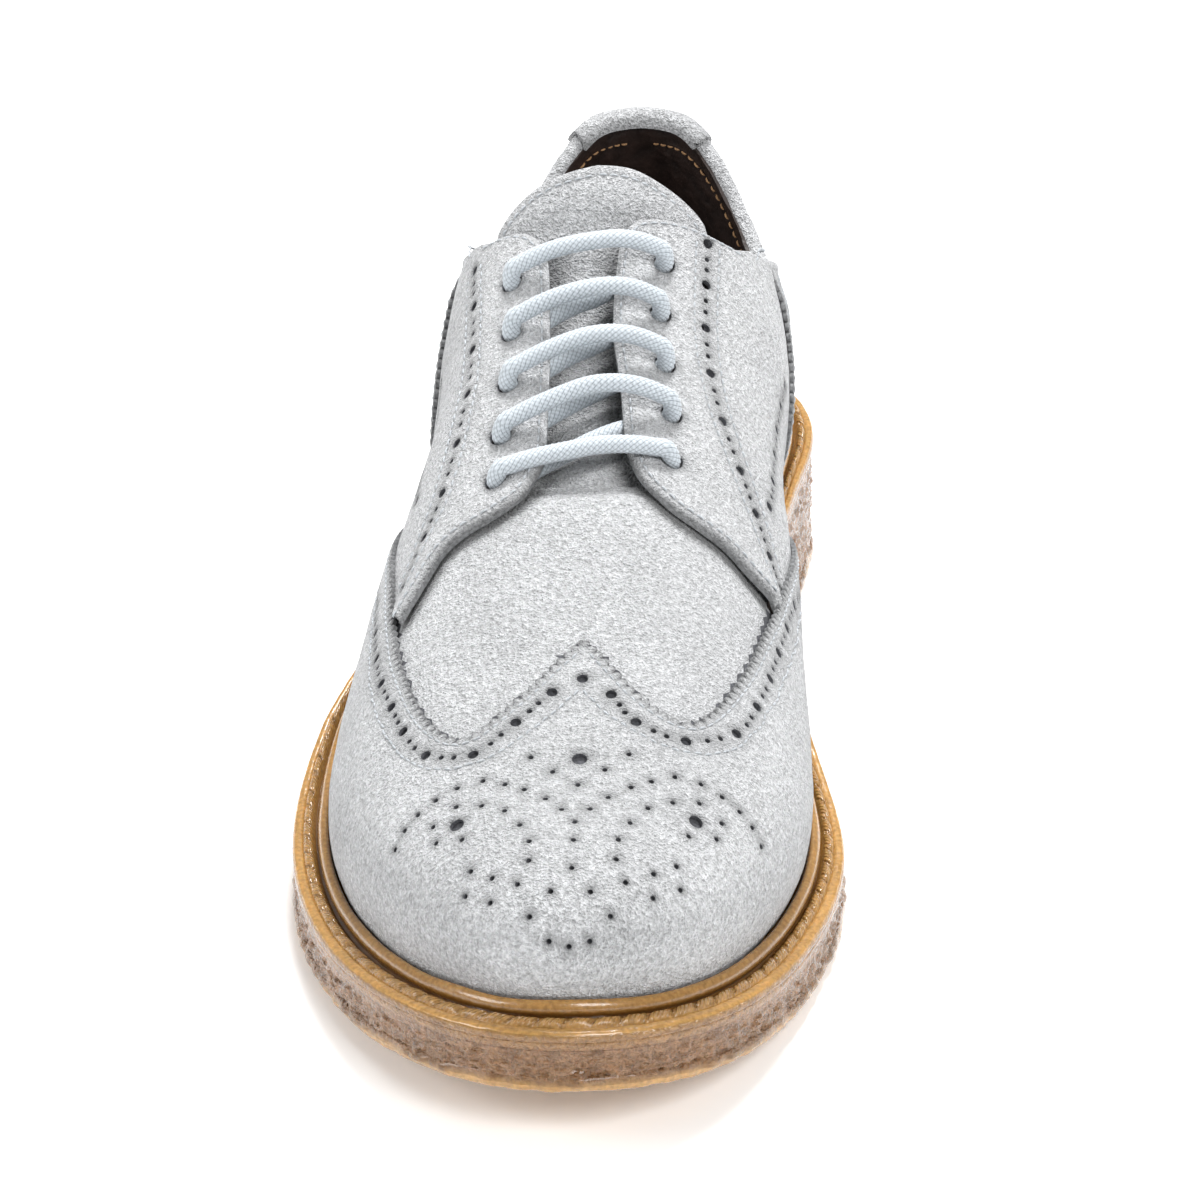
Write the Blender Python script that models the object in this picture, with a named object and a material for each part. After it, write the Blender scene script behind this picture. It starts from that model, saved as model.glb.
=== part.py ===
"""A right shoe: a laced brogue with a wing cap, a heel counter and open quarters, on a moulded gum sole.

The floor is z = 0, the toe points along -Y, the heel along +Y, and the medial side is +X.
Every leather piece is cut from one surface, the outside of the lasted upper, and given its thickness.
"""
from collections import namedtuple
from math import pi

import bpy
import numpy as np
from mathutils.geometry import delaunay_2d_cdt

for old in list(bpy.data.objects):
    bpy.data.objects.remove(old, do_unlink=True)

# Driving sizes of the shoe
SOLE_LENGTH = 0.300
BALL_WIDTH = 0.110
HEEL_HEIGHT = 0.0310        # the welt's top over the floor, at the heel
FORE_HEIGHT = 0.0140        # the welt's top over the floor, at the ball
TOE_SPRING = 0.0130
ARCH_RISE = 0.0035
INSTEP_HEIGHT = 0.1040      # the ridge over the floor, at the top eyelets
BACK_HEIGHT = 0.0960        # the collar over the floor, at the back of the heel
WELT_MARGIN = 0.0095        # the welt's edge to the upper, at the toe

# Layers of the sole
OUTSOLE_THICKNESS = 0.0036
WELT_THICKNESS = 0.0042
WELT_UNDERLAP = 0.0046      # how far the welt reaches in under the upper
SIDEWALL_INSET = 0.0008
STRIP_INSET = 0.0002
LIP_HEIGHT = 0.0030
LIP_THICKNESS = 0.0018
LIP_FLARE = 1.25            # the lip's foot over its top
INSOLE_THICKNESS = 0.0030
INSOLE_CLEARANCE = 0.0009
FIT_GAP = 0.0003

# Leather, measured inwards from the outer surface
PANEL_THICKNESS = 0.0012
LAYER_GAP = 0.0007
WALL = 0.0020
OVERLAP_LIFT = 0.0013       # how far the wing's ends and the counter stand over the quarters
LAP_START = 0.57            # the shares of the length between which the wing comes down flush
LAP_END = 0.68
THIN_LOW = 0.04             # raised pieces are thinned between these rises, at the sole
THIN_HIGH = 0.16
SEAM_GAP = 0.0004
BASE_RISE = 0.004           # the leather's bottom edge, as a rise
TONGUE_THICKNESS = 0.0025
TAB_WIDTH = 0.0316
TAB_DROP = 0.0300           # down the back of the heel
TAB_TURN = 0.0045           # down inside the collar

# Lace and eyelets
LACE_DIAMETER = 0.0039
EYELET_DIAMETER = 0.0058
LACE_GAP = 0.0006
BAR_LIFT = 0.0045           # how far the middle of an upper bar stands over the ridge
LACE_BEND = 0.0023          # the length left free for each turn at an eyelet
BAR_ARCH = 1.45             # how squarely a bar crosses the ridge
BAR_SMOOTHING = 12

# Spacing of the facets
COLUMNS = 36                # from the heel to the toe, on one side
ROWS = 13                   # from the sole to the ridge
RIM_STEP = 0.0068
LACE_STEP = 0.0036
TAB_COLUMNS = 8
CURVE_STEPS = 8             # to a row of an edge table
CLEAR_OF_RIM = 0.42         # inner points stay this share of RIM_STEP from a rim
CLEAR_OF_HOLE = 0.30
PROBE_U = 0.002             # the steps by which slopes of the surface are measured
PROBE_T = 0.010

# Colours
SUEDE = (0.58, 0.60, 0.61)
RAW_EDGE = (0.30, 0.31, 0.32)
LINING = (0.05, 0.03, 0.02)
LACE = (0.74, 0.79, 0.84)
GUM = (0.52, 0.33, 0.15)
SIDEWALL = (0.38, 0.24, 0.15)

Plan = namedtuple("Plan", "share lateral medial margin")
PLAN = [
    Plan(0.00, 0.560, 0.561, 0.84),
    Plan(0.12, 0.560, 0.561, 0.84),
    Plan(0.27, 0.473, 0.405, 0.68),
    Plan(0.42, 0.438, 0.320, 0.63),
    Plan(0.56, 0.551, 0.430, 0.74),
    Plan(0.70, 0.610, 0.544, 0.89),
    Plan(0.84, 0.619, 0.589, 0.95),
    Plan(1.00, 0.582, 0.655, 1.00),
]
# Height as a share of INSTEP_HEIGHT, shift and bulges as shares of BALL_WIDTH
Ridge = namedtuple("Ridge", "share height shift side_power rise_power lateral_bulge medial_bulge")
RIDGE = [
    Ridge(0.000, 1.442, 0.024, 0.30, 1.00, 0.050, 0.050),
    Ridge(0.060, 1.425, 0.032, 0.40, 1.00, 0.090, 0.062),
    Ridge(0.120, 1.404, 0.040, 1.20, 1.00, -0.022, 0.002),
    Ridge(0.240, 1.231, -0.018, 0.90, 1.00, 0.012, 0.056),
    Ridge(0.360, 1.000, -0.045, 0.61, 0.95, 0.009, 0.118),
    Ridge(0.467, 0.880, -0.036, 0.68, 1.00, 0.000, 0.114),
    Ridge(0.567, 0.774, -0.018, 0.78, 1.00, -0.027, 0.055),
    Ridge(0.700, 0.649, 0.009, 0.75, 1.03, 0.018, 0.041),
    Ridge(0.833, 0.548, 0.018, 0.68, 0.90, 0.036, 0.068),
    Ridge(0.900, 0.519, 0.027, 0.66, 0.85, 0.027, 0.027),
    Ridge(1.000, 0.500, 0.027, 0.62, 0.80, 0.018, 0.014),
]
# Columns lean to the ridge between these shares, and the bulge is scaled up to its peak
HEEL_CENTRE = 0.140
TOE_CENTRE = 0.865
CENTRE_BLEND = 0.050
BULGE_SCALE = 1.6
# Rises between which the outward direction stops being level, and where the ridge begins
LEVEL_START = 0.012
LEVEL_END = 0.060
RIDGE_RISE = 0.99

# The collar's height along one side, as a share of BACK_HEIGHT
Collar = namedtuple("Collar", "share height")
COLLAR = [
    Collar(0.000, 1.000),
    Collar(0.040, 0.995),
    Collar(0.075, 0.935),
    Collar(0.115, 0.825),
    Collar(0.165, 0.770),
    Collar(0.205, 0.820),
    Collar(0.245, 0.885),
    Collar(0.280, 0.945),
]
# Edges on the surface: the share of the length and the share of the way from sole to ridge, on each side
Edge = namedtuple("Edge", "lateral_share lateral_rise medial_share medial_rise")
FACING = [
    Edge(0.318, 0.640, 0.309, 0.585),
    Edge(0.326, 0.715, 0.316, 0.665),
    Edge(0.332, 0.790, 0.321, 0.765),
    Edge(0.340, 0.865, 0.327, 0.865),
    Edge(0.352, 0.915, 0.336, 0.930),
    Edge(0.376, 0.944, 0.357, 0.956),
    Edge(0.430, 0.950, 0.418, 0.955),
    Edge(0.488, 0.950, 0.476, 0.930),
    Edge(0.540, 0.942, 0.524, 0.915),
    Edge(0.562, 0.925, 0.550, 0.890),
    Edge(0.583, 0.890, 0.568, 0.850),
    Edge(0.596, 0.815, 0.580, 0.790),
    Edge(0.601, 0.730, 0.586, 0.700),
    Edge(0.609, 0.665, 0.588, 0.620),
    Edge(0.627, 0.615, 0.592, 0.540),
    Edge(0.648, 0.555, 0.590, 0.460),
]
WING = [
    Edge(0.713, 1.000, 0.713, 1.000),
    Edge(0.737, 0.965, 0.735, 0.960),
    Edge(0.768, 0.905, 0.760, 0.900),
    Edge(0.798, 0.810, 0.776, 0.820),
    Edge(0.797, 0.745, 0.776, 0.755),
    Edge(0.765, 0.670, 0.752, 0.690),
    Edge(0.710, 0.600, 0.705, 0.612),
    Edge(0.648, 0.528, 0.645, 0.525),
    Edge(0.580, 0.440, 0.585, 0.430),
    Edge(0.515, 0.355, 0.515, 0.345),
    Edge(0.450, 0.245, 0.450, 0.240),
    Edge(0.410, 0.120, 0.410, 0.120),
    Edge(0.395, 0.004, 0.395, 0.004),
]
COUNTER_TOP = 0.258         # where the counter's front edge leaves the collar
COUNTER = [
    Edge(0.275, 0.345, 0.275, 0.345),
    Edge(0.300, 0.280, 0.300, 0.280),
    Edge(0.325, 0.215, 0.325, 0.215),
    Edge(0.342, 0.130, 0.342, 0.130),
    Edge(0.350, 0.004, 0.350, 0.004),
]
# The hollow upper's own throat, which the facings and the tongue cover
THROAT = [
    Edge(0.316, 0.600, 0.306, 0.560),
    Edge(0.340, 0.680, 0.330, 0.660),
    Edge(0.400, 0.710, 0.390, 0.690),
    Edge(0.480, 0.720, 0.470, 0.680),
    Edge(0.550, 0.725, 0.535, 0.690),
    Edge(0.580, 0.800, 0.565, 0.770),
    Edge(0.592, 0.900, 0.580, 0.880),
    Edge(0.595, 1.000, 0.595, 1.000),
]
TONGUE = [
    Edge(0.297, 1.000, 0.297, 1.000),
    Edge(0.302, 0.950, 0.299, 0.940),
    Edge(0.313, 0.870, 0.307, 0.865),
    Edge(0.328, 0.765, 0.320, 0.755),
    Edge(0.355, 0.650, 0.345, 0.620),
    Edge(0.420, 0.640, 0.410, 0.610),
    Edge(0.520, 0.660, 0.510, 0.630),
    Edge(0.600, 0.700, 0.595, 0.690),
    Edge(0.625, 0.800, 0.622, 0.790),
    Edge(0.632, 1.000, 0.632, 1.000),
]
# How deep the tongue's top lies under the outer surface, in metres, along the length
Depth = namedtuple("Depth", "share depth")
TONGUE_DEPTH = [
    Depth(0.280, 0.0010),
    Depth(0.305, 0.0022),
    Depth(0.328, 0.0050),
    Depth(0.350, 0.0064),
    Depth(0.560, 0.0064),
    Depth(0.600, 0.0048),
    Depth(0.640, 0.0046),
]
# The eyelets of each row, from the top
Eyelet = namedtuple("Eyelet", "lateral_share lateral_rise medial_share medial_rise lift")
EYELETS = [
    Eyelet(0.3770, 0.822, 0.3600, 0.832, 1.0),
    Eyelet(0.4245, 0.835, 0.4035, 0.828, 1.0),
    Eyelet(0.4720, 0.840, 0.4470, 0.805, 1.0),
    Eyelet(0.5195, 0.832, 0.4905, 0.790, 1.0),
    Eyelet(0.5600, 0.820, 0.5330, 0.790, 0.2),
]

# The sole's bottom: where each stretch starts and ends along the length
HEEL_END = 0.290
ARCH_TOP = 0.420
BALL_START = 0.540
SPRING_START = 0.720
EDGE_FALL_START = 0.300
EDGE_FALL_END = 0.660


def read(table, x, column):
    """A column of a table at shares x, on a smooth curve through its rows."""
    xs = np.array([row.share for row in table])
    ys = np.array([getattr(row, column) for row in table])
    slope = np.gradient(ys, xs)
    x = np.clip(np.asarray(x, float), xs[0], xs[-1])
    i = np.clip(np.searchsorted(xs, x, side="right") - 1, 0, len(xs) - 2)
    h = xs[i + 1] - xs[i]
    s = (x - xs[i]) / h
    start = (1 + 2 * s) * (1 - s) ** 2 * ys[i] + s * (1 - s) ** 2 * h * slope[i]
    end = s * s * (3 - 2 * s) * ys[i + 1] + s * s * (s - 1) * h * slope[i + 1]
    return start + end


def step(x, low, high):
    """A smooth step from 0 at low to 1 at high."""
    s = np.clip((np.asarray(x, float) - low) / (high - low), 0, 1)
    return s * s * (3 - 2 * s)


def share_of(u):
    """Share of the length from the heel at place u round the outline: 0 at the heel, 1 or -1 at the toe."""
    return (1 - np.cos(pi * np.abs(u))) / 2


def place_of(share):
    """The place round the outline, 0 to 1, at a share of the length."""
    return np.arccos(1 - 2 * np.asarray(share, float)) / pi


def toe_rise(share):
    return TOE_SPRING * np.clip((share - SPRING_START) / (1 - SPRING_START), 0, 1) ** 2


def bottom(share):
    """The sole's underside: flat at heel and ball, raised between them and at the toe."""
    arch = step(share, HEEL_END, ARCH_TOP) * (1 - step(share, ARCH_TOP, BALL_START))
    return ARCH_RISE * arch + toe_rise(share)


def welt_top(share):
    """The welt's top, from HEEL_HEIGHT down to FORE_HEIGHT, and up with the toe."""
    fall = step(share, EDGE_FALL_START, EDGE_FALL_END)
    return HEEL_HEIGHT + (FORE_HEIGHT - HEEL_HEIGHT) * fall + toe_rise(share)


def plain_outline(u):
    """The sole's outline: half widths of PLAN on a half circle of the length, medial for u over 0."""
    u = (np.asarray(u, float) + 1) % 2 - 1
    share = share_of(u)
    width = np.where(u < 0, read(PLAN, share, "lateral"), read(PLAN, share, "medial"))
    return np.sign(u) * width * BALL_WIDTH * np.sin(pi * np.abs(u)), SOLE_LENGTH * (0.5 - share)


ROUND = np.linspace(-1, 1, 4001)
CENTRE_X = (plain_outline(ROUND)[0].max() + plain_outline(ROUND)[0].min()) / 2


def outline(u, inset=0.0):
    """The outline centred on the origin, and moved inwards by inset."""
    x, y = plain_outline(u)
    x1, y1 = plain_outline(np.asarray(u) + PROBE_U)
    x0, y0 = plain_outline(np.asarray(u) - PROBE_U)
    length = np.hypot(x1 - x0, y1 - y0)
    return x - CENTRE_X + inset * (y1 - y0) / length, y - inset * (x1 - x0) / length


def margin(u):
    return WELT_MARGIN * read(PLAN, share_of(u), "margin")


def held(share):
    """A share held between the heel's and the toe's centre, rounded over CENTRE_BLEND."""
    def soft(v):
        return (v + np.sqrt(v * v + CENTRE_BLEND * CENTRE_BLEND)) / 2
    share = HEEL_CENTRE + soft(share - HEEL_CENTRE)
    return TOE_CENTRE - soft(TOE_CENTRE - share)


def surface(u, t):
    """The upper's outer surface: a column at place u, from the sole at t = 0 to the ridge at t = 1.

    A column goes inwards by a rounded power of its angle, bulges out low down, and rises by another power.
    """
    u, t = np.broadcast_arrays(np.asarray(u, float), np.asarray(t, float))
    share = share_of(u)
    foot_x, foot_y = outline(u, margin(u))
    foot_z = welt_top(share)
    centre = held(share)
    top_x = read(RIDGE, centre, "shift") * BALL_WIDTH - CENTRE_X
    top_y = SOLE_LENGTH * (0.5 - centre)
    top_z = read(RIDGE, centre, "height") * INSTEP_HEIGHT
    angle = np.clip(t, 0, 1) * pi / 2
    inward = 1 - np.cos(angle) ** read(RIDGE, centre, "side_power")
    rise = np.sin(angle) ** read(RIDGE, centre, "rise_power")
    lateral = read(RIDGE, centre, "lateral_bulge")
    medial = read(RIDGE, centre, "medial_bulge")
    lean = np.sign(u) * np.sin(pi * np.abs(u))
    bulge = BALL_WIDTH * ((lateral + medial) / 2 + (medial - lateral) / 2 * lean)
    out_x, out_y = top_x - foot_x, top_y - foot_y
    reach = np.hypot(out_x, out_y)
    go = (inward * reach - BULGE_SCALE * bulge * np.sin(angle * 2) * (1 - t)) / reach
    return np.stack([foot_x + out_x * go, foot_y + out_y * go, foot_z + (top_z - foot_z) * rise], -1)


def normal(u, t):
    """The surface's outward direction: level at the sole, and the mean of both sides at the ridge."""
    def one_side(u, t):
        along = surface(u + 2 * PROBE_U, t) - surface(u - 2 * PROBE_U, t)
        up = surface(u, t) - surface(u, t - PROBE_T)
        n = np.cross(up, along)
        return n / np.linalg.norm(n, axis=-1, keepdims=True)
    u, t = np.broadcast_arrays(np.asarray(u, float), np.asarray(t, float))
    t = np.clip(t, LEVEL_START, 1 - PROBE_T / 2)
    n = one_side(u, t)
    both = n + np.where((t > RIDGE_RISE)[..., None], one_side(-u, t), n)
    both[..., 2] *= step(t, LEVEL_START, LEVEL_END)
    return both / np.linalg.norm(both, axis=-1, keepdims=True)


def rise_at(u, z):
    """The t at which the column at u reaches height z."""
    share = share_of(u)
    centre = held(share)
    foot_z = welt_top(share)
    top_z = read(RIDGE, centre, "height") * INSTEP_HEIGHT
    part = np.clip((z - foot_z) / (top_z - foot_z), 0.02, 0.98)
    return np.arcsin(part ** (1 / read(RIDGE, centre, "rise_power"))) * 2 / pi


def unrolled(u, t):
    """The surface laid flat: each column straight out from its place on the ridge."""
    foot_x, foot_y = outline(u, margin(u))
    centre = held(share_of(u))
    top_x = read(RIDGE, centre, "shift") * BALL_WIDTH - CENTRE_X
    top_y = SOLE_LENGTH * (0.5 - centre)
    out = np.stack([foot_x - top_x, foot_y - top_y], -1)
    out = out / np.linalg.norm(out, axis=-1, keepdims=True)
    return np.stack([top_x, top_y], -1) + out * (INSTEP_HEIGHT * (1 - np.asarray(t)))[..., None]


def side_edge(table, side):
    """One side's run of an edge table as rows of (u, t); side is -1 for lateral and 1 for medial."""
    word = "medial" if side > 0 else "lateral"
    share = np.array([getattr(row, word + "_share") for row in table])
    rise = np.array([getattr(row, word + "_rise") for row in table])
    return np.stack([side * place_of(share), rise], -1)


def collar_edge(side, start, end):
    """The collar of one side between two shares, as rows of (u, t)."""
    share = np.linspace(start, end, 12)
    u = side * place_of(share)
    return np.stack([u, rise_at(u, BACK_HEIGHT * read(COLLAR, share, "height"))], -1)


def counter_edge(side):
    """The counter's front edge on one side, from the collar down to the sole."""
    start = collar_edge(side, COUNTER_TOP, COUNTER_TOP)[:1]
    return curved(np.concatenate([start, side_edge(COUNTER, side)]))


def curved(points, steps=CURVE_STEPS):
    """A smooth curve through rows of coordinates, with some steps to a row."""
    p = np.asarray(points, float)
    padded = np.concatenate([2 * p[:1] - p[1:2], p, 2 * p[-1:] - p[-2:-1]])
    a, b, c, d = padded[:-3], padded[1:-2], padded[2:-1], padded[3:]
    s = np.linspace(0, 1, steps, endpoint=False)[:, None, None]
    run = 0.5 * (2 * b + (c - a) * s + (2 * a - 5 * b + 4 * c - d) * s ** 2
                 + (3 * b - a - 3 * c + d) * s ** 3)
    return np.concatenate([run.transpose(1, 0, 2).reshape(-1, p.shape[1]), p[-1:]])


def evenly(loop, spacing=RIM_STEP):
    """A closed loop of (u, t) with its points about one spacing apart on the surface."""
    closed = np.concatenate([loop, loop[:1]])
    u, t = closed[:, 0], closed[:, 1]
    along = np.linalg.norm(np.diff(surface(u, np.minimum(t, 1)), axis=0), axis=1)
    along = np.concatenate([[0], np.cumsum(along)])
    count = max(int(round(along[-1] / spacing)), 8)
    at = np.interp(np.linspace(0, along[-1], count, endpoint=False), along, np.arange(len(closed)))
    i = at.astype(int)
    turn = (u[i + 1] - u[i] + 1) % 2 - 1
    over_ridge = (t[i] > 0.9) & (np.sign(u[i]) != np.sign(u[i + 1]))
    part = np.where(over_ridge, np.round(at - i), at - i)
    return np.stack([(u[i] + turn * part + 1) % 2 - 1, t[i] + (t[i + 1] - t[i]) * part], -1)


def inside(points, loop):
    """Which flat points lie inside a closed flat loop, by counting crossings."""
    a, b = loop, np.roll(loop, -1, axis=0)
    x, y = points[:, :1], points[:, 1:]
    crosses = (a[:, 1] > y) != (b[:, 1] > y)
    rise = np.where(b[:, 1] == a[:, 1], 1.0, b[:, 1] - a[:, 1])
    meets = a[:, 0] + (y - a[:, 1]) * (b[:, 0] - a[:, 0]) / rise
    return (crosses & (x < meets)).sum(1) % 2 == 1


def distance(points, loop):
    """Distance of flat points from a closed flat loop."""
    a, b = loop, np.roll(loop, -1, axis=0)
    ab = b - a
    ap = points[:, None, :] - a
    s = np.clip((ap * ab).sum(-1) / (ab * ab).sum(-1), 0, 1)
    return np.linalg.norm(ap - s[..., None] * ab, axis=-1).min(1)


def hole(u, t, diameter, count=8):
    """A ring of (u, t) that is a true circle on the surface."""
    du = (surface(u + PROBE_U, t) - surface(u - PROBE_U, t)) / (2 * PROBE_U)
    dt = (surface(u, t + PROBE_T) - surface(u, t - PROBE_T)) / (2 * PROBE_T)
    first = du / np.linalg.norm(du)
    second = np.cross(normal(u, t), first)
    turn = np.linspace(0, 2 * pi, count, endpoint=False)
    ring = diameter / 2 * (np.cos(turn)[:, None] * first + np.sin(turn)[:, None] * second)
    frame = np.stack([du, dt], -1)
    return np.array([u, t]) + ring @ np.linalg.pinv(frame).T


def add_mesh(name, points, faces, colour, roughness):
    """One named object with its own material."""
    mesh = bpy.data.meshes.new(name)
    mesh.from_pydata([tuple(p) for p in points], [], [tuple(int(i) for i in f) for f in faces])
    mesh.update()
    item = bpy.data.objects.new(name, mesh)
    bpy.context.collection.objects.link(item)
    material = bpy.data.materials.new(name + "_material")
    material.use_nodes = True
    shader = material.node_tree.nodes["Principled BSDF"]
    shader.inputs["Base Color"].default_value = (*colour, 1.0)
    shader.inputs["Roughness"].default_value = roughness
    mesh.materials.append(material)
    mesh.shade_smooth()
    mesh.set_sharp_from_angle(angle=pi / 5)
    return item


def leather(name, loop, outer, inner, colour, holes=(), roughness=0.9):
    """A piece of leather: the surface inside a loop of (u, t), from outer to inner metres off it.

    Points at even columns and rows fill the loop. Both faces get the same triangles, joined by walls.
    """
    rims = [evenly(loop), *holes]
    flat_rims = [unrolled(r[:, 0], r[:, 1]) for r in rims]
    u, t = np.meshgrid(np.linspace(-1, 1, 2 * COLUMNS, endpoint=False), (np.arange(ROWS) + 0.5) / ROWS)
    ridge_u = np.linspace(0, 1, COLUMNS + 1)
    ridge_u = ridge_u[(share_of(ridge_u) > HEEL_CENTRE) & (share_of(ridge_u) < TOE_CENTRE)]
    fill = np.concatenate([np.stack([u.ravel(), t.ravel()], -1),
                           np.stack([ridge_u, np.ones(len(ridge_u))], -1)])
    flat = unrolled(fill[:, 0], fill[:, 1])
    keep = inside(flat, flat_rims[0]) & (distance(flat, flat_rims[0]) > RIM_STEP * CLEAR_OF_RIM)
    for ring in flat_rims[1:]:
        keep &= ~inside(flat, ring) & (distance(flat, ring) > RIM_STEP * CLEAR_OF_HOLE)
    fill, flat = fill[keep], flat[keep]
    edges, start = [], 0
    for rim in rims:
        edges += [(start + i, start + (i + 1) % len(rim)) for i in range(len(rim))]
        start += len(rim)
    spots = np.concatenate(flat_rims + [flat])
    _, _, faces, origin, _, _ = delaunay_2d_cdt([tuple(p) for p in spots], edges, [], 0, 1e-7)
    tris = np.array([[origin[i][0] for i in f] for f in faces])
    middle = spots[tris].mean(1)
    wanted = inside(middle, flat_rims[0])
    for ring in flat_rims[1:]:
        wanted &= ~inside(middle, ring)
    tris = tris[wanted]
    uv = np.concatenate(rims + [fill])
    on, out = surface(uv[:, 0], uv[:, 1]), normal(uv[:, 0], uv[:, 1])
    share = share_of(uv[:, 0])
    top = on + out * np.broadcast_to(outer(share, uv[:, 1]), len(uv))[:, None]
    low = on + out * np.broadcast_to(inner(share, uv[:, 1]), len(uv))[:, None]
    facing = np.cross(top[tris[:, 1]] - top[tris[:, 0]], top[tris[:, 2]] - top[tris[:, 0]])
    turned = (facing * out[tris[:, 0]]).sum(1) < 0
    tris[turned] = tris[turned][:, ::-1]
    sides = {}
    for a, b, c in tris:
        for edge in ((a, b), (b, c), (c, a)):
            sides[edge] = True
    rim_edges = np.array([e for e in sides if (e[1], e[0]) not in sides])
    n = len(uv)
    a, b = rim_edges[:, 0], rim_edges[:, 1]
    walls = np.concatenate([np.stack([b, a, a + n], -1), np.stack([b, a + n, b + n], -1)])
    every = np.concatenate([tris, tris[:, ::-1] + n, walls])
    used, renamed = np.unique(every, return_inverse=True)
    points = np.concatenate([top, low])[used]
    return add_mesh(name, points, renamed.reshape(every.shape), colour, roughness)


def level(value):
    """The same distance everywhere."""
    def at(share, t):
        return value
    return at


def wing_outer(share, t):
    """Flush at the toe, and over the quarter's leather towards the wing's ends."""
    behind = 1 - step(share, LAP_START, LAP_END)
    return OVERLAP_LIFT * behind * step(t, THIN_LOW, THIN_HIGH)


def counter_outer(share, t):
    """Over the quarters, thinned towards the sole and the collar."""
    collar = BACK_HEIGHT * read(COLLAR, share, "height")
    top = rise_at(place_of(share), collar)
    return OVERLAP_LIFT * step(t, THIN_LOW, THIN_HIGH) * (1 - step(t, top - 0.10, top - 0.01))


def tongue_outer(share, t):
    return -read(TONGUE_DEPTH, share, "depth")


def tongue_inner(share, t):
    return tongue_outer(share, t) - TONGUE_THICKNESS


def inset_loop(loop, by):
    """A dense loop of (u, t) moved inwards on the surface by a distance."""
    u, t = loop[:, 0], np.clip(loop[:, 1], BASE_RISE, 1)
    flat = unrolled(u, t)
    along = np.roll(flat, -1, axis=0) - np.roll(flat, 1, axis=0)
    along /= np.linalg.norm(along, axis=1, keepdims=True)
    area = (flat[:, 0] * np.roll(flat[:, 1], -1) - np.roll(flat[:, 0], -1) * flat[:, 1]).sum()
    into = np.stack([-along[:, 1], along[:, 0]], -1) * np.sign(area)
    du = (unrolled(u + PROBE_U, t) - unrolled(u - PROBE_U, t)) / (2 * PROBE_U)
    dt = (unrolled(u, t + PROBE_T) - unrolled(u, t - PROBE_T)) / (2 * PROBE_T)
    across = du[:, 0] * dt[:, 1] - du[:, 1] * dt[:, 0]
    step_u = (into[:, 0] * dt[:, 1] - into[:, 1] * dt[:, 0]) / across * by
    step_t = (du[:, 0] * into[:, 1] - du[:, 1] * into[:, 0]) / across * by
    return np.stack([u + step_u, t + step_t], -1)


def foot_line(start, end, count=60):
    """The leather's bottom edge between two places round the outline."""
    u = np.linspace(start, end, count)
    return np.stack([(u + 1) % 2 - 1, np.full(count, BASE_RISE)], -1)


def make_upper():
    """The hollow upper: one wall, open at the collar, the throat and underneath."""
    rim = foot_line(-1, 1 - 1 / 60, 120)
    sides = []
    for side in (-1, 1):
        collar = collar_edge(side, 0.0, COLLAR[-1].share)
        throat = curved(side_edge(THROAT, side))
        sides.append(np.concatenate([collar, throat]))
    opening = np.concatenate([sides[1], sides[0][::-1][1:-1]])
    outer = -PANEL_THICKNESS - LAYER_GAP
    return leather("upper", rim, level(outer), level(outer - WALL), SUEDE, [evenly(opening)])


def make_wing_cap():
    left, right = curved(side_edge(WING, -1)), curved(side_edge(WING, 1))
    toe = foot_line(right[-1, 0], 2 + left[-1, 0], 140)
    loop = np.concatenate([left[::-1], right[1:], toe[1:-1]])
    loop = inset_loop(loop, SEAM_GAP / 2)
    return leather("wing_cap", loop, wing_outer, level(-PANEL_THICKNESS), SUEDE)


def make_quarter(side):
    """One quarter: from the counter forward to its free facing, above the wing."""
    name = "quarter_medial" if side > 0 else "quarter_lateral"
    collar = collar_edge(side, COUNTER_TOP, COLLAR[-1].share)
    facing = curved(side_edge(FACING, side))
    wing = curved(side_edge(WING, side))
    wing = wing[(np.abs(wing[:, 0]) < np.abs(facing[-1, 0]) - 0.002) & (wing[:, 1] < facing[-1, 1])]
    counter = counter_edge(side)
    bottom_line = foot_line(wing[-1, 0], counter[-1, 0], 12)
    loop = np.concatenate([collar, facing, wing, bottom_line[1:-1], counter[::-1][:-1]])
    loop = inset_loop(loop, SEAM_GAP / 2)
    word = "medial" if side > 0 else "lateral"
    eyelets = []
    for row in EYELETS:
        u = side * place_of(getattr(row, word + "_share"))
        eyelets.append(hole(float(u), getattr(row, word + "_rise"), EYELET_DIAMETER))
    return leather(name, loop, level(0.0), level(-PANEL_THICKNESS), SUEDE, eyelets)


def make_heel_counter():
    left, right = counter_edge(-1), counter_edge(1)
    collar_right = collar_edge(1, 0.0, COUNTER_TOP)
    collar_left = collar_edge(-1, 0.0, COUNTER_TOP)
    foot = foot_line(right[-1, 0], left[-1, 0], 80)
    loop = np.concatenate([collar_left[::-1], collar_right[1:], right[1:], foot[1:-1], left[::-1][:-1]])
    loop = inset_loop(loop, SEAM_GAP / 2)
    return leather("heel_counter", loop, counter_outer, level(-PANEL_THICKNESS), SUEDE)


def make_tongue():
    right, left = curved(side_edge(TONGUE, 1)), curved(side_edge(TONGUE, -1))
    loop = np.concatenate([right, left[::-1][1:-1]])
    return leather("tongue", loop, tongue_outer, tongue_inner, SUEDE)


def grid_solid(name, rings, colour, roughness):
    """A solid from rings of points: joined in turn, with the last joined to the first."""
    rings = np.array(rings)
    turns, count = rings.shape[:2]
    i, j = np.meshgrid(np.arange(turns), np.arange(count), indexing="ij")
    i2, j2 = (i + 1) % turns, (j + 1) % count
    quads = np.stack([i * count + j, i2 * count + j, i2 * count + j2, i * count + j2], -1)
    return add_mesh(name, rings.reshape(-1, 3), quads.reshape(-1, 4), colour, roughness)


OUTLINE_U = np.linspace(-1, 1, 2 * COLUMNS, endpoint=False)


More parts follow.
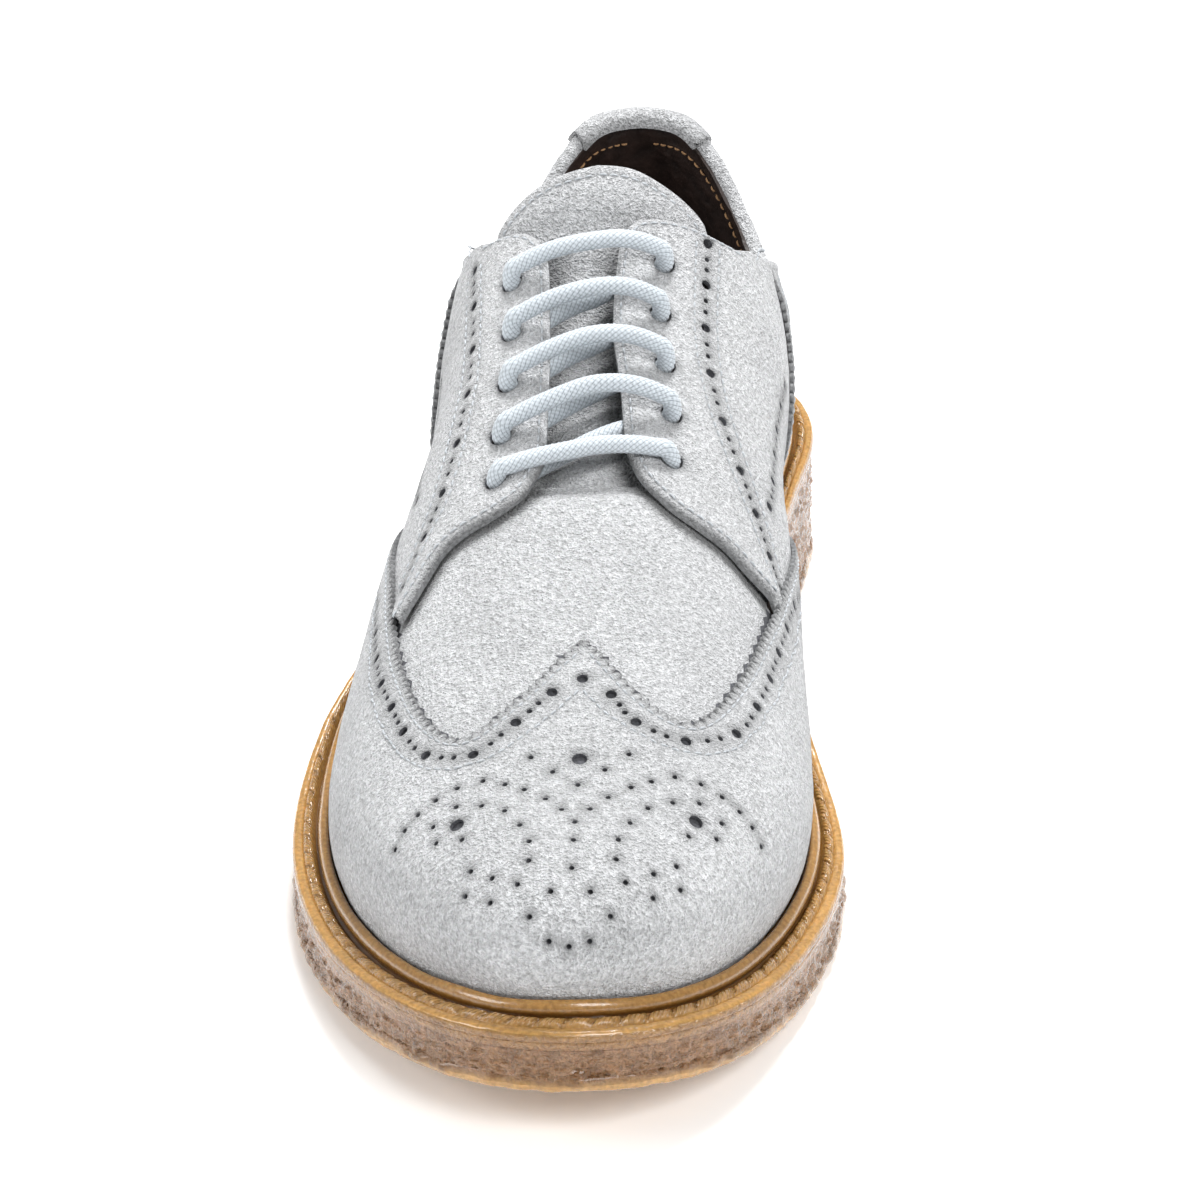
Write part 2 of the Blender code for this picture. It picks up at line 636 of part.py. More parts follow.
def ring_at(inset, height):
    """A ring of points round the sole at an inset and a height that is a function of the share."""
    x, y = outline(OUTLINE_U, inset)
    return np.stack([x, y, np.broadcast_to(height(share_of(OUTLINE_U)), x.shape)], -1)


def slab(name, rings, colour, roughness):
    """A solid slab from rings, bottom to top, closed across its width at both ends."""
    rings = np.array(rings)
    turns, count = rings.shape[:2]
    faces = []
    for i in range(turns - 1):
        for j in range(count):
            k = (j + 1) % count
            faces.append((i * count + j, (i + 1) * count + j, (i + 1) * count + k, i * count + k))
    top = (turns - 1) * count
    for base, upwards in ((0, False), (top, True)):
        for j in range(COLUMNS):
            lateral, medial = COLUMNS - j, COLUMNS + j
            face = [lateral, lateral - 1, medial + 1, medial]
            face = [base + v % count for v in face]
            face = [v for k, v in enumerate(face) if v not in face[:k]]
            faces.append(tuple(face) if upwards else tuple(face[::-1]))
    return add_mesh(name, rings.reshape(-1, 3), faces, colour, roughness)


def make_outsole():
    """The bottom strip of the gum sole, with the arch and the toe spring."""
    return slab("outsole", [
        ring_at(STRIP_INSET, bottom),
        ring_at(STRIP_INSET, lambda share: bottom(share) + OUTSOLE_THICKNESS),
    ], GUM, 0.5)


def make_midsole():
    """The thick sidewall, with a filler that rises inside the welt."""
    def low(share):
        return bottom(share) + OUTSOLE_THICKNESS + FIT_GAP

    def ledge(share):
        return welt_top(share) - WELT_THICKNESS - FIT_GAP

    def filler(share):
        return welt_top(share) - FIT_GAP

    inner = margin(OUTLINE_U) + WELT_UNDERLAP + FIT_GAP
    return slab("midsole", [
        ring_at(SIDEWALL_INSET, low),
        ring_at(SIDEWALL_INSET, ledge),
        ring_at(inner, ledge),
        ring_at(inner, filler),
    ], SIDEWALL, 0.35)


def make_welt():
    """The welt's flange and the lip that stands against the upper, one profile carried round."""
    def under(share):
        return welt_top(share) - WELT_THICKNESS

    inner = margin(OUTLINE_U) + WELT_UNDERLAP
    lip_rise = rise_at(OUTLINE_U, welt_top(share_of(OUTLINE_U)) + LIP_HEIGHT)
    out = normal(OUTLINE_U, lip_rise)
    out[:, 2] = 0
    out /= np.linalg.norm(out, axis=1, keepdims=True)
    foot, lip = surface(OUTLINE_U, 0.0), surface(OUTLINE_U, lip_rise)
    reach = np.maximum(((lip - foot) * out).sum(1), 0)[:, None]
    near = foot + out * (LAYER_GAP + reach)
    up = np.array([0, 0, LIP_HEIGHT])
    return grid_solid("welt", [
        ring_at(inner, under),
        ring_at(0.0, under),
        ring_at(0.0, welt_top),
        near + out * (LIP_THICKNESS * LIP_FLARE),
        near + out * LIP_THICKNESS + up,
        near + up,
        foot + out * LAYER_GAP,
        ring_at(inner, welt_top),
    ], GUM, 0.5)


def make_insole():
    inner = margin(OUTLINE_U) + PANEL_THICKNESS + LAYER_GAP + WALL + INSOLE_CLEARANCE
    return slab("insole", [
        ring_at(inner, welt_top),
        ring_at(inner, lambda share: welt_top(share) + INSOLE_THICKNESS),
    ], LINING, 0.8)


def make_heel_tab():
    """The strip folded over the collar at the back: down the counter outside, and down the lining inside."""
    places = np.linspace(-1, 1, TAB_COLUMNS + 1)
    probe = np.linspace(0, 0.3, 61)

    def row(drop, off):
        """A row across the strip, drop metres under the collar, at an off that is a function of (share, t)."""
        line = surface(probe, rise_at(probe, BACK_HEIGHT - drop))[:, 0]
        u = places * np.interp(TAB_WIDTH / 2, line - line[0], probe)
        share = share_of(u)
        t = rise_at(u, BACK_HEIGHT * read(COLLAR, share, "height") - drop)
        return surface(u, t) + normal(u, t) * np.broadcast_to(off(share, t), len(u))[:, None]

    def skin(thick):
        """One face of the strip, from outside at the bottom, over the collar, to inside."""
        within = level(-PANEL_THICKNESS - LAYER_GAP - WALL - LAYER_GAP - thick)
        over = -LAYER_GAP - thick
        outside = [row(drop, lambda share, t: counter_outer(share, t) + LAYER_GAP + thick)
                   for drop in np.linspace(TAB_DROP, 0, 6)]
        crown = [row(over, level(-over / 2)), row(over, lambda share, t: 0.9 * within(share, t))]
        return outside + crown + [row(drop, within) for drop in np.linspace(0, TAB_TURN, 3)]

    outer, inner = np.array(skin(PANEL_THICKNESS)), np.array(skin(0.0))
    rows, wide = outer.shape[0], TAB_COLUMNS + 1
    ring = np.concatenate([outer, inner[::-1]])
    turns = 2 * rows
    faces = []
    for i in range(turns):
        k = (i + 1) % turns
        for j in range(TAB_COLUMNS):
            faces.append((i * wide + j, k * wide + j, k * wide + j + 1, i * wide + j + 1))
    for i in range(rows - 1):
        for j in (0, TAB_COLUMNS):
            back = turns - 1 - i
            face = (i * wide + j, back * wide + j, (back - 1) * wide + j, (i + 1) * wide + j)
            faces.append(face[::-1] if j else face)
    return add_mesh("heel_tab", ring.reshape(-1, 3), faces, RAW_EDGE, 0.9)


def across(start, end, off, lift):
    """A run over the ridge from one (u, t) to another, off metres from the surface, raised in its middle."""
    w = np.linspace(0, 1, 161)
    share = share_of(start[0]) * (1 - w) + share_of(end[0]) * w
    side = np.where(w < 0.5, np.sign(start[0]), np.sign(end[0]))
    near = np.where(w < 0.5, start[1], end[1])
    t = 1 - (1 - near) * np.abs(2 * w - 1) ** BAR_ARCH
    u = side * place_of(share)
    run = surface(u, t) + normal(u, t) * (off + lift * np.sin(pi * w) ** 2)[:, None]
    for _ in range(BAR_SMOOTHING):
        run[1:-1] = (run[:-2] + 2 * run[1:-1] + run[2:]) / 4
    return run


def trimmed(run, at_start, at_end, count):
    """A run cut back at its ends and spaced evenly."""
    along = np.concatenate([[0], np.cumsum(np.linalg.norm(np.diff(run, axis=0), axis=1))])
    at = np.linspace(at_start, along[-1] - at_end, count)
    return np.stack([np.interp(at, along, run[:, k]) for k in range(3)], -1)


def make_laces():
    """One lace: a bar over each row of eyelets, down the medial eyelet, and under to the next row."""
    radius = LACE_DIAMETER / 2
    over = LACE_GAP + radius
    under = -PANEL_THICKNESS - LACE_GAP - radius
    path = []
    for k, row in enumerate(EYELETS):
        left = (-float(place_of(row.lateral_share)), row.lateral_rise)
        right = (float(place_of(row.medial_share)), row.medial_rise)
        bar = across(left, right, over, BAR_LIFT * row.lift)
        bar = trimmed(bar, LACE_BEND, LACE_BEND, 14)
        if k == 0:
            path.append(surface(*left) + normal(*left) * under)
        path.append(surface(*left) + normal(*left) * (-PANEL_THICKNESS / 2))
        path.extend(bar)
        path.append(surface(*right) + normal(*right) * (-PANEL_THICKNESS / 2))
        if k == len(EYELETS) - 1:
            path.append(surface(*right) + normal(*right) * under)
            continue
        following = EYELETS[k + 1]
        turn = (-float(place_of(following.lateral_share)), following.lateral_rise)
        run = across(right, turn, under, 0.0)
        path.extend(trimmed(run, LACE_BEND, LACE_BEND, 14))
    path = np.array(path)
    count = int(round(np.linalg.norm(np.diff(path, axis=0), axis=1).sum() / LACE_STEP))
    spots = trimmed(curved(path), 0.0, 0.0, count)
    curve = bpy.data.curves.new("laces", "CURVE")
    curve.dimensions = "3D"
    curve.bevel_depth = radius
    curve.bevel_resolution = 2
    curve.use_fill_caps = True
    curve.twist_mode = "MINIMUM"
    spline = curve.splines.new("POLY")
    spline.points.add(count - 1)
    spline.points.foreach_set("co", np.concatenate([spots, np.ones((count, 1))], 1).ravel())
    item = bpy.data.objects.new("laces", curve)
    bpy.context.collection.objects.link(item)
    material = bpy.data.materials.new("laces_material")
    material.use_nodes = True
    shader = material.node_tree.nodes["Principled BSDF"]
    shader.inputs["Base Color"].default_value = (*LACE, 1.0)
    shader.inputs["Roughness"].default_value = 0.85
    curve.materials.append(material)
    return item


make_outsole()
make_midsole()
make_welt()
make_insole()
make_upper()
make_wing_cap()
make_quarter(-1)
make_quarter(1)
make_heel_counter()
make_heel_tab()
make_tongue()
make_laces()
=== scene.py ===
"""The looks of a right shoe: a laced wing-cap brogue in light grey suede on a moulded gum sole.

The floor is z = 0, the toe points along -Y, the heel along +Y, and the medial side is +X. Sizes are in
metres. A place on the upper is (u, t): u goes round the outline from the heel, 0, to the toe, 1 medial or -1
lateral, and t goes from the sole, 0, to the ridge, 1. Leather is cut from that surface and given its
thickness.
"""
from collections import namedtuple
from functools import lru_cache
from math import cos, pi, radians, sin

import bpy
from mathutils import Matrix, Vector
from mathutils.geometry import delaunay_2d_cdt
import numpy as np


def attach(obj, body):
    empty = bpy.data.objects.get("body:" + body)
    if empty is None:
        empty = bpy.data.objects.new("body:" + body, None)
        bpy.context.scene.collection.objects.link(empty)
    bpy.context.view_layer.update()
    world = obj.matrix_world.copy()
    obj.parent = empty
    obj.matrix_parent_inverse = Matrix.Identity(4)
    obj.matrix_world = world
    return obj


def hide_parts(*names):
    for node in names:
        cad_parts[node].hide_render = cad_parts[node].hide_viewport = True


bl_info = {
    "name": "Laced brogue shoe",
    "version": (1, 0, 0),
    "blender": (4, 5, 0),
    "location": "3D View > Sidebar > Shoe",
    "description": "A wing-cap brogue: suede upper, braided lace and moulded gum sole",
    "category": "Add Mesh",
}

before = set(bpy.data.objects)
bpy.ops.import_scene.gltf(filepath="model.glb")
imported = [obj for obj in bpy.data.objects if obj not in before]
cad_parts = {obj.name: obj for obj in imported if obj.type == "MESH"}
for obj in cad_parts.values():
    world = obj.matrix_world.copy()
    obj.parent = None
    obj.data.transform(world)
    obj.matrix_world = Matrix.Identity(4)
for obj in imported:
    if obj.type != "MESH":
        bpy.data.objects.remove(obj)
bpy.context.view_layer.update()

# Form of the shoe, the same as the frame's
SOLE_LENGTH = 0.300
BALL_WIDTH = 0.110
HEEL_HEIGHT = 0.0310
FORE_HEIGHT = 0.0140
TOE_SPRING = 0.0130
ARCH_RISE = 0.0035
INSTEP_HEIGHT = 0.1040
BACK_HEIGHT = 0.0960
WELT_MARGIN = 0.0095
OUTSOLE_THICKNESS = 0.0036
WELT_THICKNESS = 0.0042
WELT_UNDERLAP = 0.0046
LIP_HEIGHT = 0.0030
INSOLE_THICKNESS = 0.0030
PANEL = 0.0012              # one layer of leather
LAP = 0.00135               # a layer with the glue under it
WALL_INSIDE = -0.0039       # the lining's face, from the outer surface
BASE_RISE = 0.004           # t of the leather's bottom edge
TAB_WIDTH = 0.0316          # the strip over the back of the collar
TAB_DROP = 0.0300
LACE_DIAMETER = 0.0039
LACE_GAP = 0.0006
BAR_LIFT = 0.0050
LACE_BEND = 0.0023          # room for the lace's turn into an eyelet
BAR_ARCH = 1.45             # powers of a bar's way over the ridge
BAR_SKEW = 1.5
BAR_SMOOTHING = 12
# Shares of the length, or of t, where the form's rules start and end
HEEL_CENTRE = 0.140
TOE_CENTRE = 0.865
CENTRE_BLEND = 0.050
BULGE_SCALE = 1.6
LEVEL_START = 0.012         # the outward direction is level up to here
LEVEL_END = 0.060
RIDGE_RISE = 0.99
HEEL_END = 0.290            # the underside's flat heel, its arch and its flat ball
ARCH_TOP = 0.420
BALL_START = 0.540
SPRING_START = 0.720
EDGE_FALL_START = 0.300     # the welt's fall from heel to ball
EDGE_FALL_END = 0.660
LAP_START = 0.57            # the wing's lap over the quarters fades to the toe
LAP_END = 0.68
THIN_LOW = 0.04             # leather is thinned down to the sole
THIN_HIGH = 0.16
COUNTER_TOP = 0.258
# Steps of the slopes' probes, in u and in t, and of the curves
PROBE_U = 0.002
PROBE_T = 0.010
CURVE_STEPS = 8
MISS = 0.00015              # the most that a place moved along the surface may miss by

# Fine work on the leather
SCALLOP = 6                 # points to one scallop of a pinked edge
SHARP_ANGLE = radians(50)   # edges that bend more than this are shaded sharp
TONGUE_THICKNESS = 0.0025
VAMP_THICKNESS = 0.0012
UNDERLAP = 0.006            # how far a quarter reaches in under the wing and the counter
THROAT_FRONT = 0.55         # the share where the throat's front begins
THROAT_DIP = 0.0027
FLAP_START = 0.53           # the share where a facing's loose flap begins
FLAP_FRONT = 0.575          # the share where it is lifted
FLAP_LIFT = 0.0017
FLAP_REACH = 0.008
COLLAR_END = 0.300          # the share where the collar's seams and small holes end
EDGE_SEAM = 0.0016          # from a quarter's free edge to its stitches
COLLAR_SEAM = 0.0026        # from the collar, or the tongue's edge, to its stitches
COLLAR_HOLES = 0.0068
ROW_SEAM = 0.0030           # from the facing's punched row to the stitches on its two sides
PINKED_SEAMS = (0.0024, 0.0092)     # from a pinked edge to the two lines of stitches
COUNTER_ROW = 0.0058        # from the counter's edge to its punched row
COUNTER_ROW_PITCH = 0.0095
LARGE_FROM = 0.0020         # holes wider than this have 16 sides, the others 8
SMALL_PLACES = (0.37, 0.63)  # the two small holes in each gap, as shares of the gap
SEAM_BED = 0.0001           # how far a thread's line lies under the leather's face
WING_TOP_HOLE = 0.751       # the share of the hole between the wing's two rows
RIDGE_FILL = 0.22           # the ridge's length for the even fill
BAND_END = 0.292            # the share where the collar's turned edge ends
LINING_SEAM_DROP = 0.0046
STITCH_SHARE = 0.72         # a stitch's length as a share of the pitch
CARRIERS = 5                # how often the braid's two cosines go round the lace
LACE_STEP = 0.00026
LACE_SIDES = 40

# Fine work on the sole
BEAD_MIDDLE = 0.59          # shares of the welt's flange
BEAD_HALF = 0.20
BEAD_HEIGHT = 0.00115
ROPE_PITCH = 0.00115
TREAD_PITCH = 0.0075
TREAD_DEPTH = 0.0011
TREAD_SWAY = 0.0016
SWAY_LENGTH = 0.014
EDGE_STITCH = 0.0062

# The studio: each lamp's place, width and power in watts, all aimed at the shoe
Lamp = namedtuple("Lamp", "name place width power")
LAMPS = (
    Lamp("key", (0.10, 0.65, 1.35), 0.45, 28),
    Lamp("fill", (0.70, -0.95, 1.15), 0.70, 17),
    Lamp("side", (-1.20, -0.30, 0.70), 0.60, 8),
)
LAMP_TARGET = (0, -0.03, 0.05)
FLOOR_REACH = 6.0
WORLD_LIGHT = 0.34
FLOOR_GLOW = 0.16

# The photo's camera, fitted to the shoe's outline; the focal length is in pixels of a picture 1200 wide
CAMERA_AZIMUTH = radians(4.26)
CAMERA_ELEVATION = radians(29.11)
CAMERA_ROLL = radians(-0.83)
CAMERA_DISTANCE = 1.183
CAMERA_TARGET = (-0.0002, 0.0, 0.0402)
FOCAL_PIXELS = 5447
PICTURE_WIDTH = 1200
SENSOR_WIDTH = 36.0

Plan = namedtuple("Plan", "share lateral medial margin")
PLAN = [
    Plan(0.00, 0.560, 0.561, 0.84),
    Plan(0.12, 0.560, 0.561, 0.84),
    Plan(0.27, 0.473, 0.405, 0.68),
    Plan(0.42, 0.438, 0.320, 0.63),
    Plan(0.56, 0.551, 0.430, 0.74),
    Plan(0.70, 0.610, 0.544, 0.89),
    Plan(0.84, 0.619, 0.589, 0.95),
    Plan(1.00, 0.582, 0.655, 1.00),
]
# Height as a share of INSTEP_HEIGHT, shift and bulges as shares of BALL_WIDTH
Ridge = namedtuple("Ridge", "share height shift side_power rise_power lateral_bulge medial_bulge")
RIDGE = [
    Ridge(0.000, 1.442, 0.024, 0.30, 1.00, 0.050, 0.050),
    Ridge(0.060, 1.425, 0.032, 0.40, 1.00, 0.090, 0.062),
    Ridge(0.120, 1.404, 0.040, 1.20, 1.00, -0.022, 0.002),
    Ridge(0.240, 1.231, -0.018, 0.90, 1.00, 0.012, 0.056),
    Ridge(0.360, 1.000, -0.045, 0.61, 0.95, 0.009, 0.118),
    Ridge(0.467, 0.880, -0.036, 0.68, 1.00, 0.000, 0.114),
    Ridge(0.567, 0.774, -0.018, 0.78, 1.00, -0.027, 0.055),
    Ridge(0.700, 0.649, 0.009, 0.75, 1.03, 0.018, 0.041),
    Ridge(0.833, 0.548, 0.018, 0.68, 0.90, 0.036, 0.068),
    Ridge(0.900, 0.519, 0.027, 0.66, 0.85, 0.027, 0.027),
    Ridge(1.000, 0.500, 0.027, 0.62, 0.80, 0.018, 0.014),
]
Collar = namedtuple("Collar", "share height")
COLLAR = [
    Collar(0.000, 1.000),
    Collar(0.040, 0.995),
    Collar(0.075, 0.935),
    Collar(0.115, 0.825),
    Collar(0.165, 0.770),
    Collar(0.205, 0.820),
    Collar(0.245, 0.885),
    Collar(0.280, 0.945),
]
Edge = namedtuple("Edge", "lateral_share lateral_rise medial_share medial_rise")
FACING = [
    Edge(0.318, 0.640, 0.309, 0.585),
    Edge(0.326, 0.715, 0.316, 0.665),
    Edge(0.332, 0.790, 0.321, 0.765),
    Edge(0.340, 0.865, 0.327, 0.865),
    Edge(0.352, 0.915, 0.336, 0.930),
    Edge(0.376, 0.944, 0.357, 0.956),
    Edge(0.430, 0.950, 0.418, 0.955),
    Edge(0.488, 0.950, 0.476, 0.930),
    Edge(0.540, 0.942, 0.524, 0.915),
    Edge(0.562, 0.925, 0.550, 0.890),
    Edge(0.583, 0.890, 0.568, 0.850),
    Edge(0.596, 0.815, 0.580, 0.790),
    Edge(0.601, 0.730, 0.586, 0.700),
    Edge(0.609, 0.665, 0.588, 0.620),
    Edge(0.627, 0.615, 0.592, 0.540),
    Edge(0.648, 0.555, 0.590, 0.460),
]
WING = [
    Edge(0.713, 1.000, 0.713, 1.000),
    Edge(0.737, 0.965, 0.735, 0.960),
    Edge(0.768, 0.905, 0.760, 0.900),
    Edge(0.798, 0.810, 0.776, 0.820),
    Edge(0.797, 0.745, 0.776, 0.755),
    Edge(0.765, 0.670, 0.752, 0.690),
    Edge(0.710, 0.600, 0.705, 0.612),
    Edge(0.648, 0.528, 0.645, 0.525),
    Edge(0.580, 0.440, 0.585, 0.430),
    Edge(0.515, 0.355, 0.515, 0.345),
    Edge(0.450, 0.245, 0.450, 0.240),
    Edge(0.410, 0.120, 0.410, 0.120),
    Edge(0.395, 0.004, 0.395, 0.004),
]
COUNTER = [
    Edge(0.275, 0.345, 0.275, 0.345),
    Edge(0.300, 0.280, 0.300, 0.280),
    Edge(0.325, 0.215, 0.325, 0.215),
    Edge(0.342, 0.130, 0.342, 0.130),
    Edge(0.350, 0.004, 0.350, 0.004),
]
THROAT = [
    Edge(0.316, 0.600, 0.306, 0.560),
    Edge(0.340, 0.680, 0.330, 0.660),
    Edge(0.400, 0.710, 0.390, 0.690),
    Edge(0.480, 0.720, 0.470, 0.680),
    Edge(0.540, 0.725, 0.527, 0.690),
    Edge(0.554, 0.800, 0.545, 0.770),
    Edge(0.562, 0.900, 0.557, 0.880),
    Edge(0.565, 1.000, 0.565, 1.000),
]
TONGUE = [
    Edge(0.293, 1.000, 0.293, 1.000),
    Edge(0.297, 0.945, 0.294, 0.925),
    Edge(0.300, 0.870, 0.298, 0.840),
    Edge(0.304, 0.775, 0.302, 0.765),
    Edge(0.309, 0.690, 0.307, 0.705),
    Edge(0.318, 0.650, 0.314, 0.680),
    Edge(0.355, 0.630, 0.345, 0.615),
    Edge(0.420, 0.640, 0.410, 0.610),
    Edge(0.520, 0.660, 0.510, 0.630),
    Edge(0.600, 0.700, 0.595, 0.690),
    Edge(0.625, 0.800, 0.622, 0.790),
    Edge(0.632, 1.000, 0.632, 1.000),
]
Depth = namedtuple("Depth", "share depth")
TONGUE_DEPTH = [
    Depth(0.280, 0.0008),
    Depth(0.300, 0.0010),
    Depth(0.318, 0.0020),
    Depth(0.335, 0.0048),
    Depth(0.350, 0.0064),
    Depth(0.560, 0.0064),
    Depth(0.600, 0.0048),
    Depth(0.640, 0.0046),
]
Eyelet = namedtuple("Eyelet", "lateral_share lateral_rise medial_share medial_rise lift")
EYELETS = [
    Eyelet(0.3770, 0.822, 0.3600, 0.832, 1.0),
    Eyelet(0.4245, 0.835, 0.4035, 0.828, 1.0),
    Eyelet(0.4720, 0.840, 0.4470, 0.805, 1.0),
    Eyelet(0.5195, 0.832, 0.4905, 0.790, 1.0),
    Eyelet(0.5600, 0.820, 0.5330, 0.790, 0.0),
]

# Punched work, read from the photo: places on the surface, and rows with two small holes in each gap
Punch = namedtuple("Punch", "share rise")
WING_ROW_LATERAL = [
    Punch(0.765, 0.968), Punch(0.794, 0.905), Punch(0.822, 0.800), Punch(0.808, 0.665), Punch(0.771, 0.600),
    Punch(0.737, 0.560), Punch(0.700, 0.512), Punch(0.660, 0.462), Punch(0.618, 0.406), Punch(0.575, 0.348),
    Punch(0.532, 0.284), Punch(0.494, 0.216), Punch(0.464, 0.146),
]
WING_ROW_MEDIAL = [
    Punch(0.765, 0.958), Punch(0.790, 0.900), Punch(0.798, 0.765), Punch(0.768, 0.622), Punch(0.725, 0.556),
    Punch(0.679, 0.500), Punch(0.638, 0.450), Punch(0.598, 0.396), Punch(0.556, 0.338), Punch(0.516, 0.272),
    Punch(0.482, 0.202), Punch(0.456, 0.136),
]
FACING_ROW_LATERAL = [
    Punch(0.331, 0.600), Punch(0.368, 0.632), Punch(0.412, 0.655), Punch(0.456, 0.670), Punch(0.500, 0.665),
    Punch(0.540, 0.630), Punch(0.570, 0.572), Punch(0.601, 0.506),
]
FACING_ROW_MEDIAL = [
    Punch(0.327, 0.700), Punch(0.360, 0.702), Punch(0.396, 0.692), Punch(0.432, 0.668), Punch(0.468, 0.634),
    Punch(0.500, 0.580), Punch(0.524, 0.520), Punch(0.546, 0.456), Punch(0.562, 0.404),
]
SIDE_ROW_LATERAL = [
    Punch(0.353, 0.344), Punch(0.380, 0.364), Punch(0.410, 0.385), Punch(0.440, 0.410), Punch(0.472, 0.440),
    Punch(0.505, 0.470),
]
SIDE_ROW_MEDIAL = [
    Punch(0.353, 0.344), Punch(0.378, 0.364), Punch(0.406, 0.383), Punch(0.436, 0.407), Punch(0.468, 0.435),
    Punch(0.500, 0.462),
]
# The medallion, one half: millimetres across from its middle line and ahead of its rear hole
Pin = namedtuple("Pin", "across ahead")
MEDALLION_LARGE = [Pin(0.0, 0.0), Pin(23.8, 14.3)]
MEDALLION = [
    Pin(9.8, -1.2), Pin(5.2, 3.4), Pin(0.0, 7.6), Pin(10.6, 8.4), Pin(6.2, 11.9),
    Pin(14.6, 6.1), Pin(19.2, 3.6), Pin(24.4, 3.6), Pin(28.7, 4.7), Pin(32.2, 6.1), Pin(34.8, 7.6),
    Pin(36.7, 9.6),
    Pin(24.3, 9.0), Pin(28.8, 11.6), Pin(19.0, 11.2), Pin(14.2, 14.4), Pin(27.9, 16.2), Pin(22.5, 18.9),
    Pin(2.8, 15.8), Pin(10.9, 19.7), Pin(0.0, 20.3), Pin(8.8, 25.0), Pin(0.0, 25.8), Pin(8.6, 30.1),
    Pin(20.3, 27.5), Pin(15.9, 31.3), Pin(21.2, 31.6), Pin(0.0, 33.0), Pin(10.6, 34.8), Pin(16.0, 35.8),
    Pin(3.9, 37.8), Pin(7.9, 41.2), Pin(4.0, 44.9), Pin(0.0, 46.6),
]
MEDALLION_PLACE = (0.0062, -0.0964)
MEDALLION_TURN = 0.088      # its slope across the foot, towards the medial side
MEDALLION_SHEAR = 0.25      # the part of that slope that also leans its length
MEDALLION_GROW = 1.35       # its large holes over the rows' large holes


def srgb(code):
    """A linear colour of red, green, blue and alpha from an sRGB hex code."""
    parts = np.array([int(code[i:i + 2], 16) for i in (0, 2, 4)]) / 255
    low = parts / 12.92
    high = ((parts + 0.055) / 1.055) ** 2.4
    return (*np.where(parts <= 0.04045, low, high).tolist(), 1.0)


def size_prop(name, description, default):
    """A length in metres, shown in the scene's unit."""
    return bpy.props.FloatProperty(
        name=name, description=description, default=default, min=0.0, precision=5,
        subtype="DISTANCE", unit="LENGTH")


def colour_prop(name, description, code):
    """A colour with its default as an sRGB hex code."""
    return bpy.props.FloatVectorProperty(
        name=name, description=description, default=srgb(code), size=4, min=0.0, max=1.0, subtype="COLOR")


class ShoeSizes(bpy.types.PropertyGroup):
    """Sizes of the fine work."""
    facet: size_prop("Facet", "Spacing of the points inside a piece of leather", 0.0021)
    tooth: size_prop("Tooth", "Pitch of the pinked edges", 0.0023)
    tooth_depth: size_prop("Tooth depth", "Depth of the pinked edges", 0.0012)
    large_hole: size_prop("Large hole", "Diameter of the large punched holes", 0.0023)
    small_hole: size_prop("Small hole", "Diameter of the small punched holes", 0.0012)
    pin_hole: size_prop("Pinhole", "Diameter of the medallion's pinholes", 0.0011)
    eyelet: size_prop("Eyelet", "Diameter of the eyelets", 0.0050)
    stitch: size_prop("Stitch", "Pitch of the seams' stitches", 0.0024)
    thread: size_prop("Thread", "Diameter of the sewing thread", 0.00050)
    braid: size_prop("Braid", "Pitch of the lace's braid", 0.0013)
    bead: size_prop("Bead", "Pitch of the welt's moulded stitches", 0.0063)
    crumb: size_prop("Crumb", "Depth of the sidewall's crepe texture", 0.00042)
    sole_step: size_prop("Sole step", "Spacing of the points round the sole", 0.00085)


class ShoeColours(bpy.types.PropertyGroup):
    """Colours of the finishes."""
    suede: colour_prop("Suede", "The upper's suede", "D6D7D9")
    # The raw edge's grey is also used as painted shade under the loose flaps and beside the facings
    raw: colour_prop("Raw edge", "Cut and pinked edges of the suede", "767778")
    # Painted shade: the dark grey in the punched holes
    hole_shade: colour_prop("Hole", "The backing seen in the punched holes", "55565A")
    lining: colour_prop("Lining", "The lining and the footbed", "241915")
    thread: colour_prop("Thread", "The sewing thread", "B4B8BC")
    lining_thread: colour_prop("Lining thread", "The thread along the lining's top", "A8825C")
    lace: colour_prop("Lace", "The braided lace", "CCD3D9")
    lace_shade: colour_prop("Lace shade", "Between the bumps of the braid", "6F787F")
    gum: colour_prop("Gum", "The welt's land and the outsole's edge", "AE8449")
    # The amber is the gum's own tone where it is thick, and also painted shade in its recesses
    amber_and_painted_shade: colour_prop("Amber", "Deep places of the gum", "6A4212")
    sidewall: colour_prop("Sidewall", "The crepe-textured sidewall", "9A7350")
    floor: colour_prop("Floor", "The floor", "F6F6F6")


@lru_cache(maxsize=None)
def fitted(table, column):
    """The shares, a column's values and their slopes, of a table's rows."""
    xs = np.array([row.share for row in table])
    ys = np.array([getattr(row, column) for row in table])
    return xs, ys, np.gradient(ys, xs)


def read(table, x, column):
    """A column of a table at shares x, on a smooth curve through its rows."""
    xs, ys, slope = fitted(tuple(table), column)
    x = np.clip(np.asarray(x, float), xs[0], xs[-1])
    i = np.clip(np.searchsorted(xs, x, side="right") - 1, 0, len(xs) - 2)
    h = xs[i + 1] - xs[i]
    s = (x - xs[i]) / h
    start = (1 + 2 * s) * (1 - s) ** 2 * ys[i] + s * (1 - s) ** 2 * h * slope[i]
    end = s * s * (3 - 2 * s) * ys[i + 1] + s * s * (s - 1) * h * slope[i + 1]
    return start + end


def step(x, low, high):
    """A smooth step from 0 at low to 1 at high."""
    s = np.clip((np.asarray(x, float) - low) / (high - low), 0, 1)
    return s * s * (3 - 2 * s)


def bell(x, width):
    """A bell of height 1 at 0, fallen to a third at width."""
    return np.exp(-(np.asarray(x) / width) ** 2)


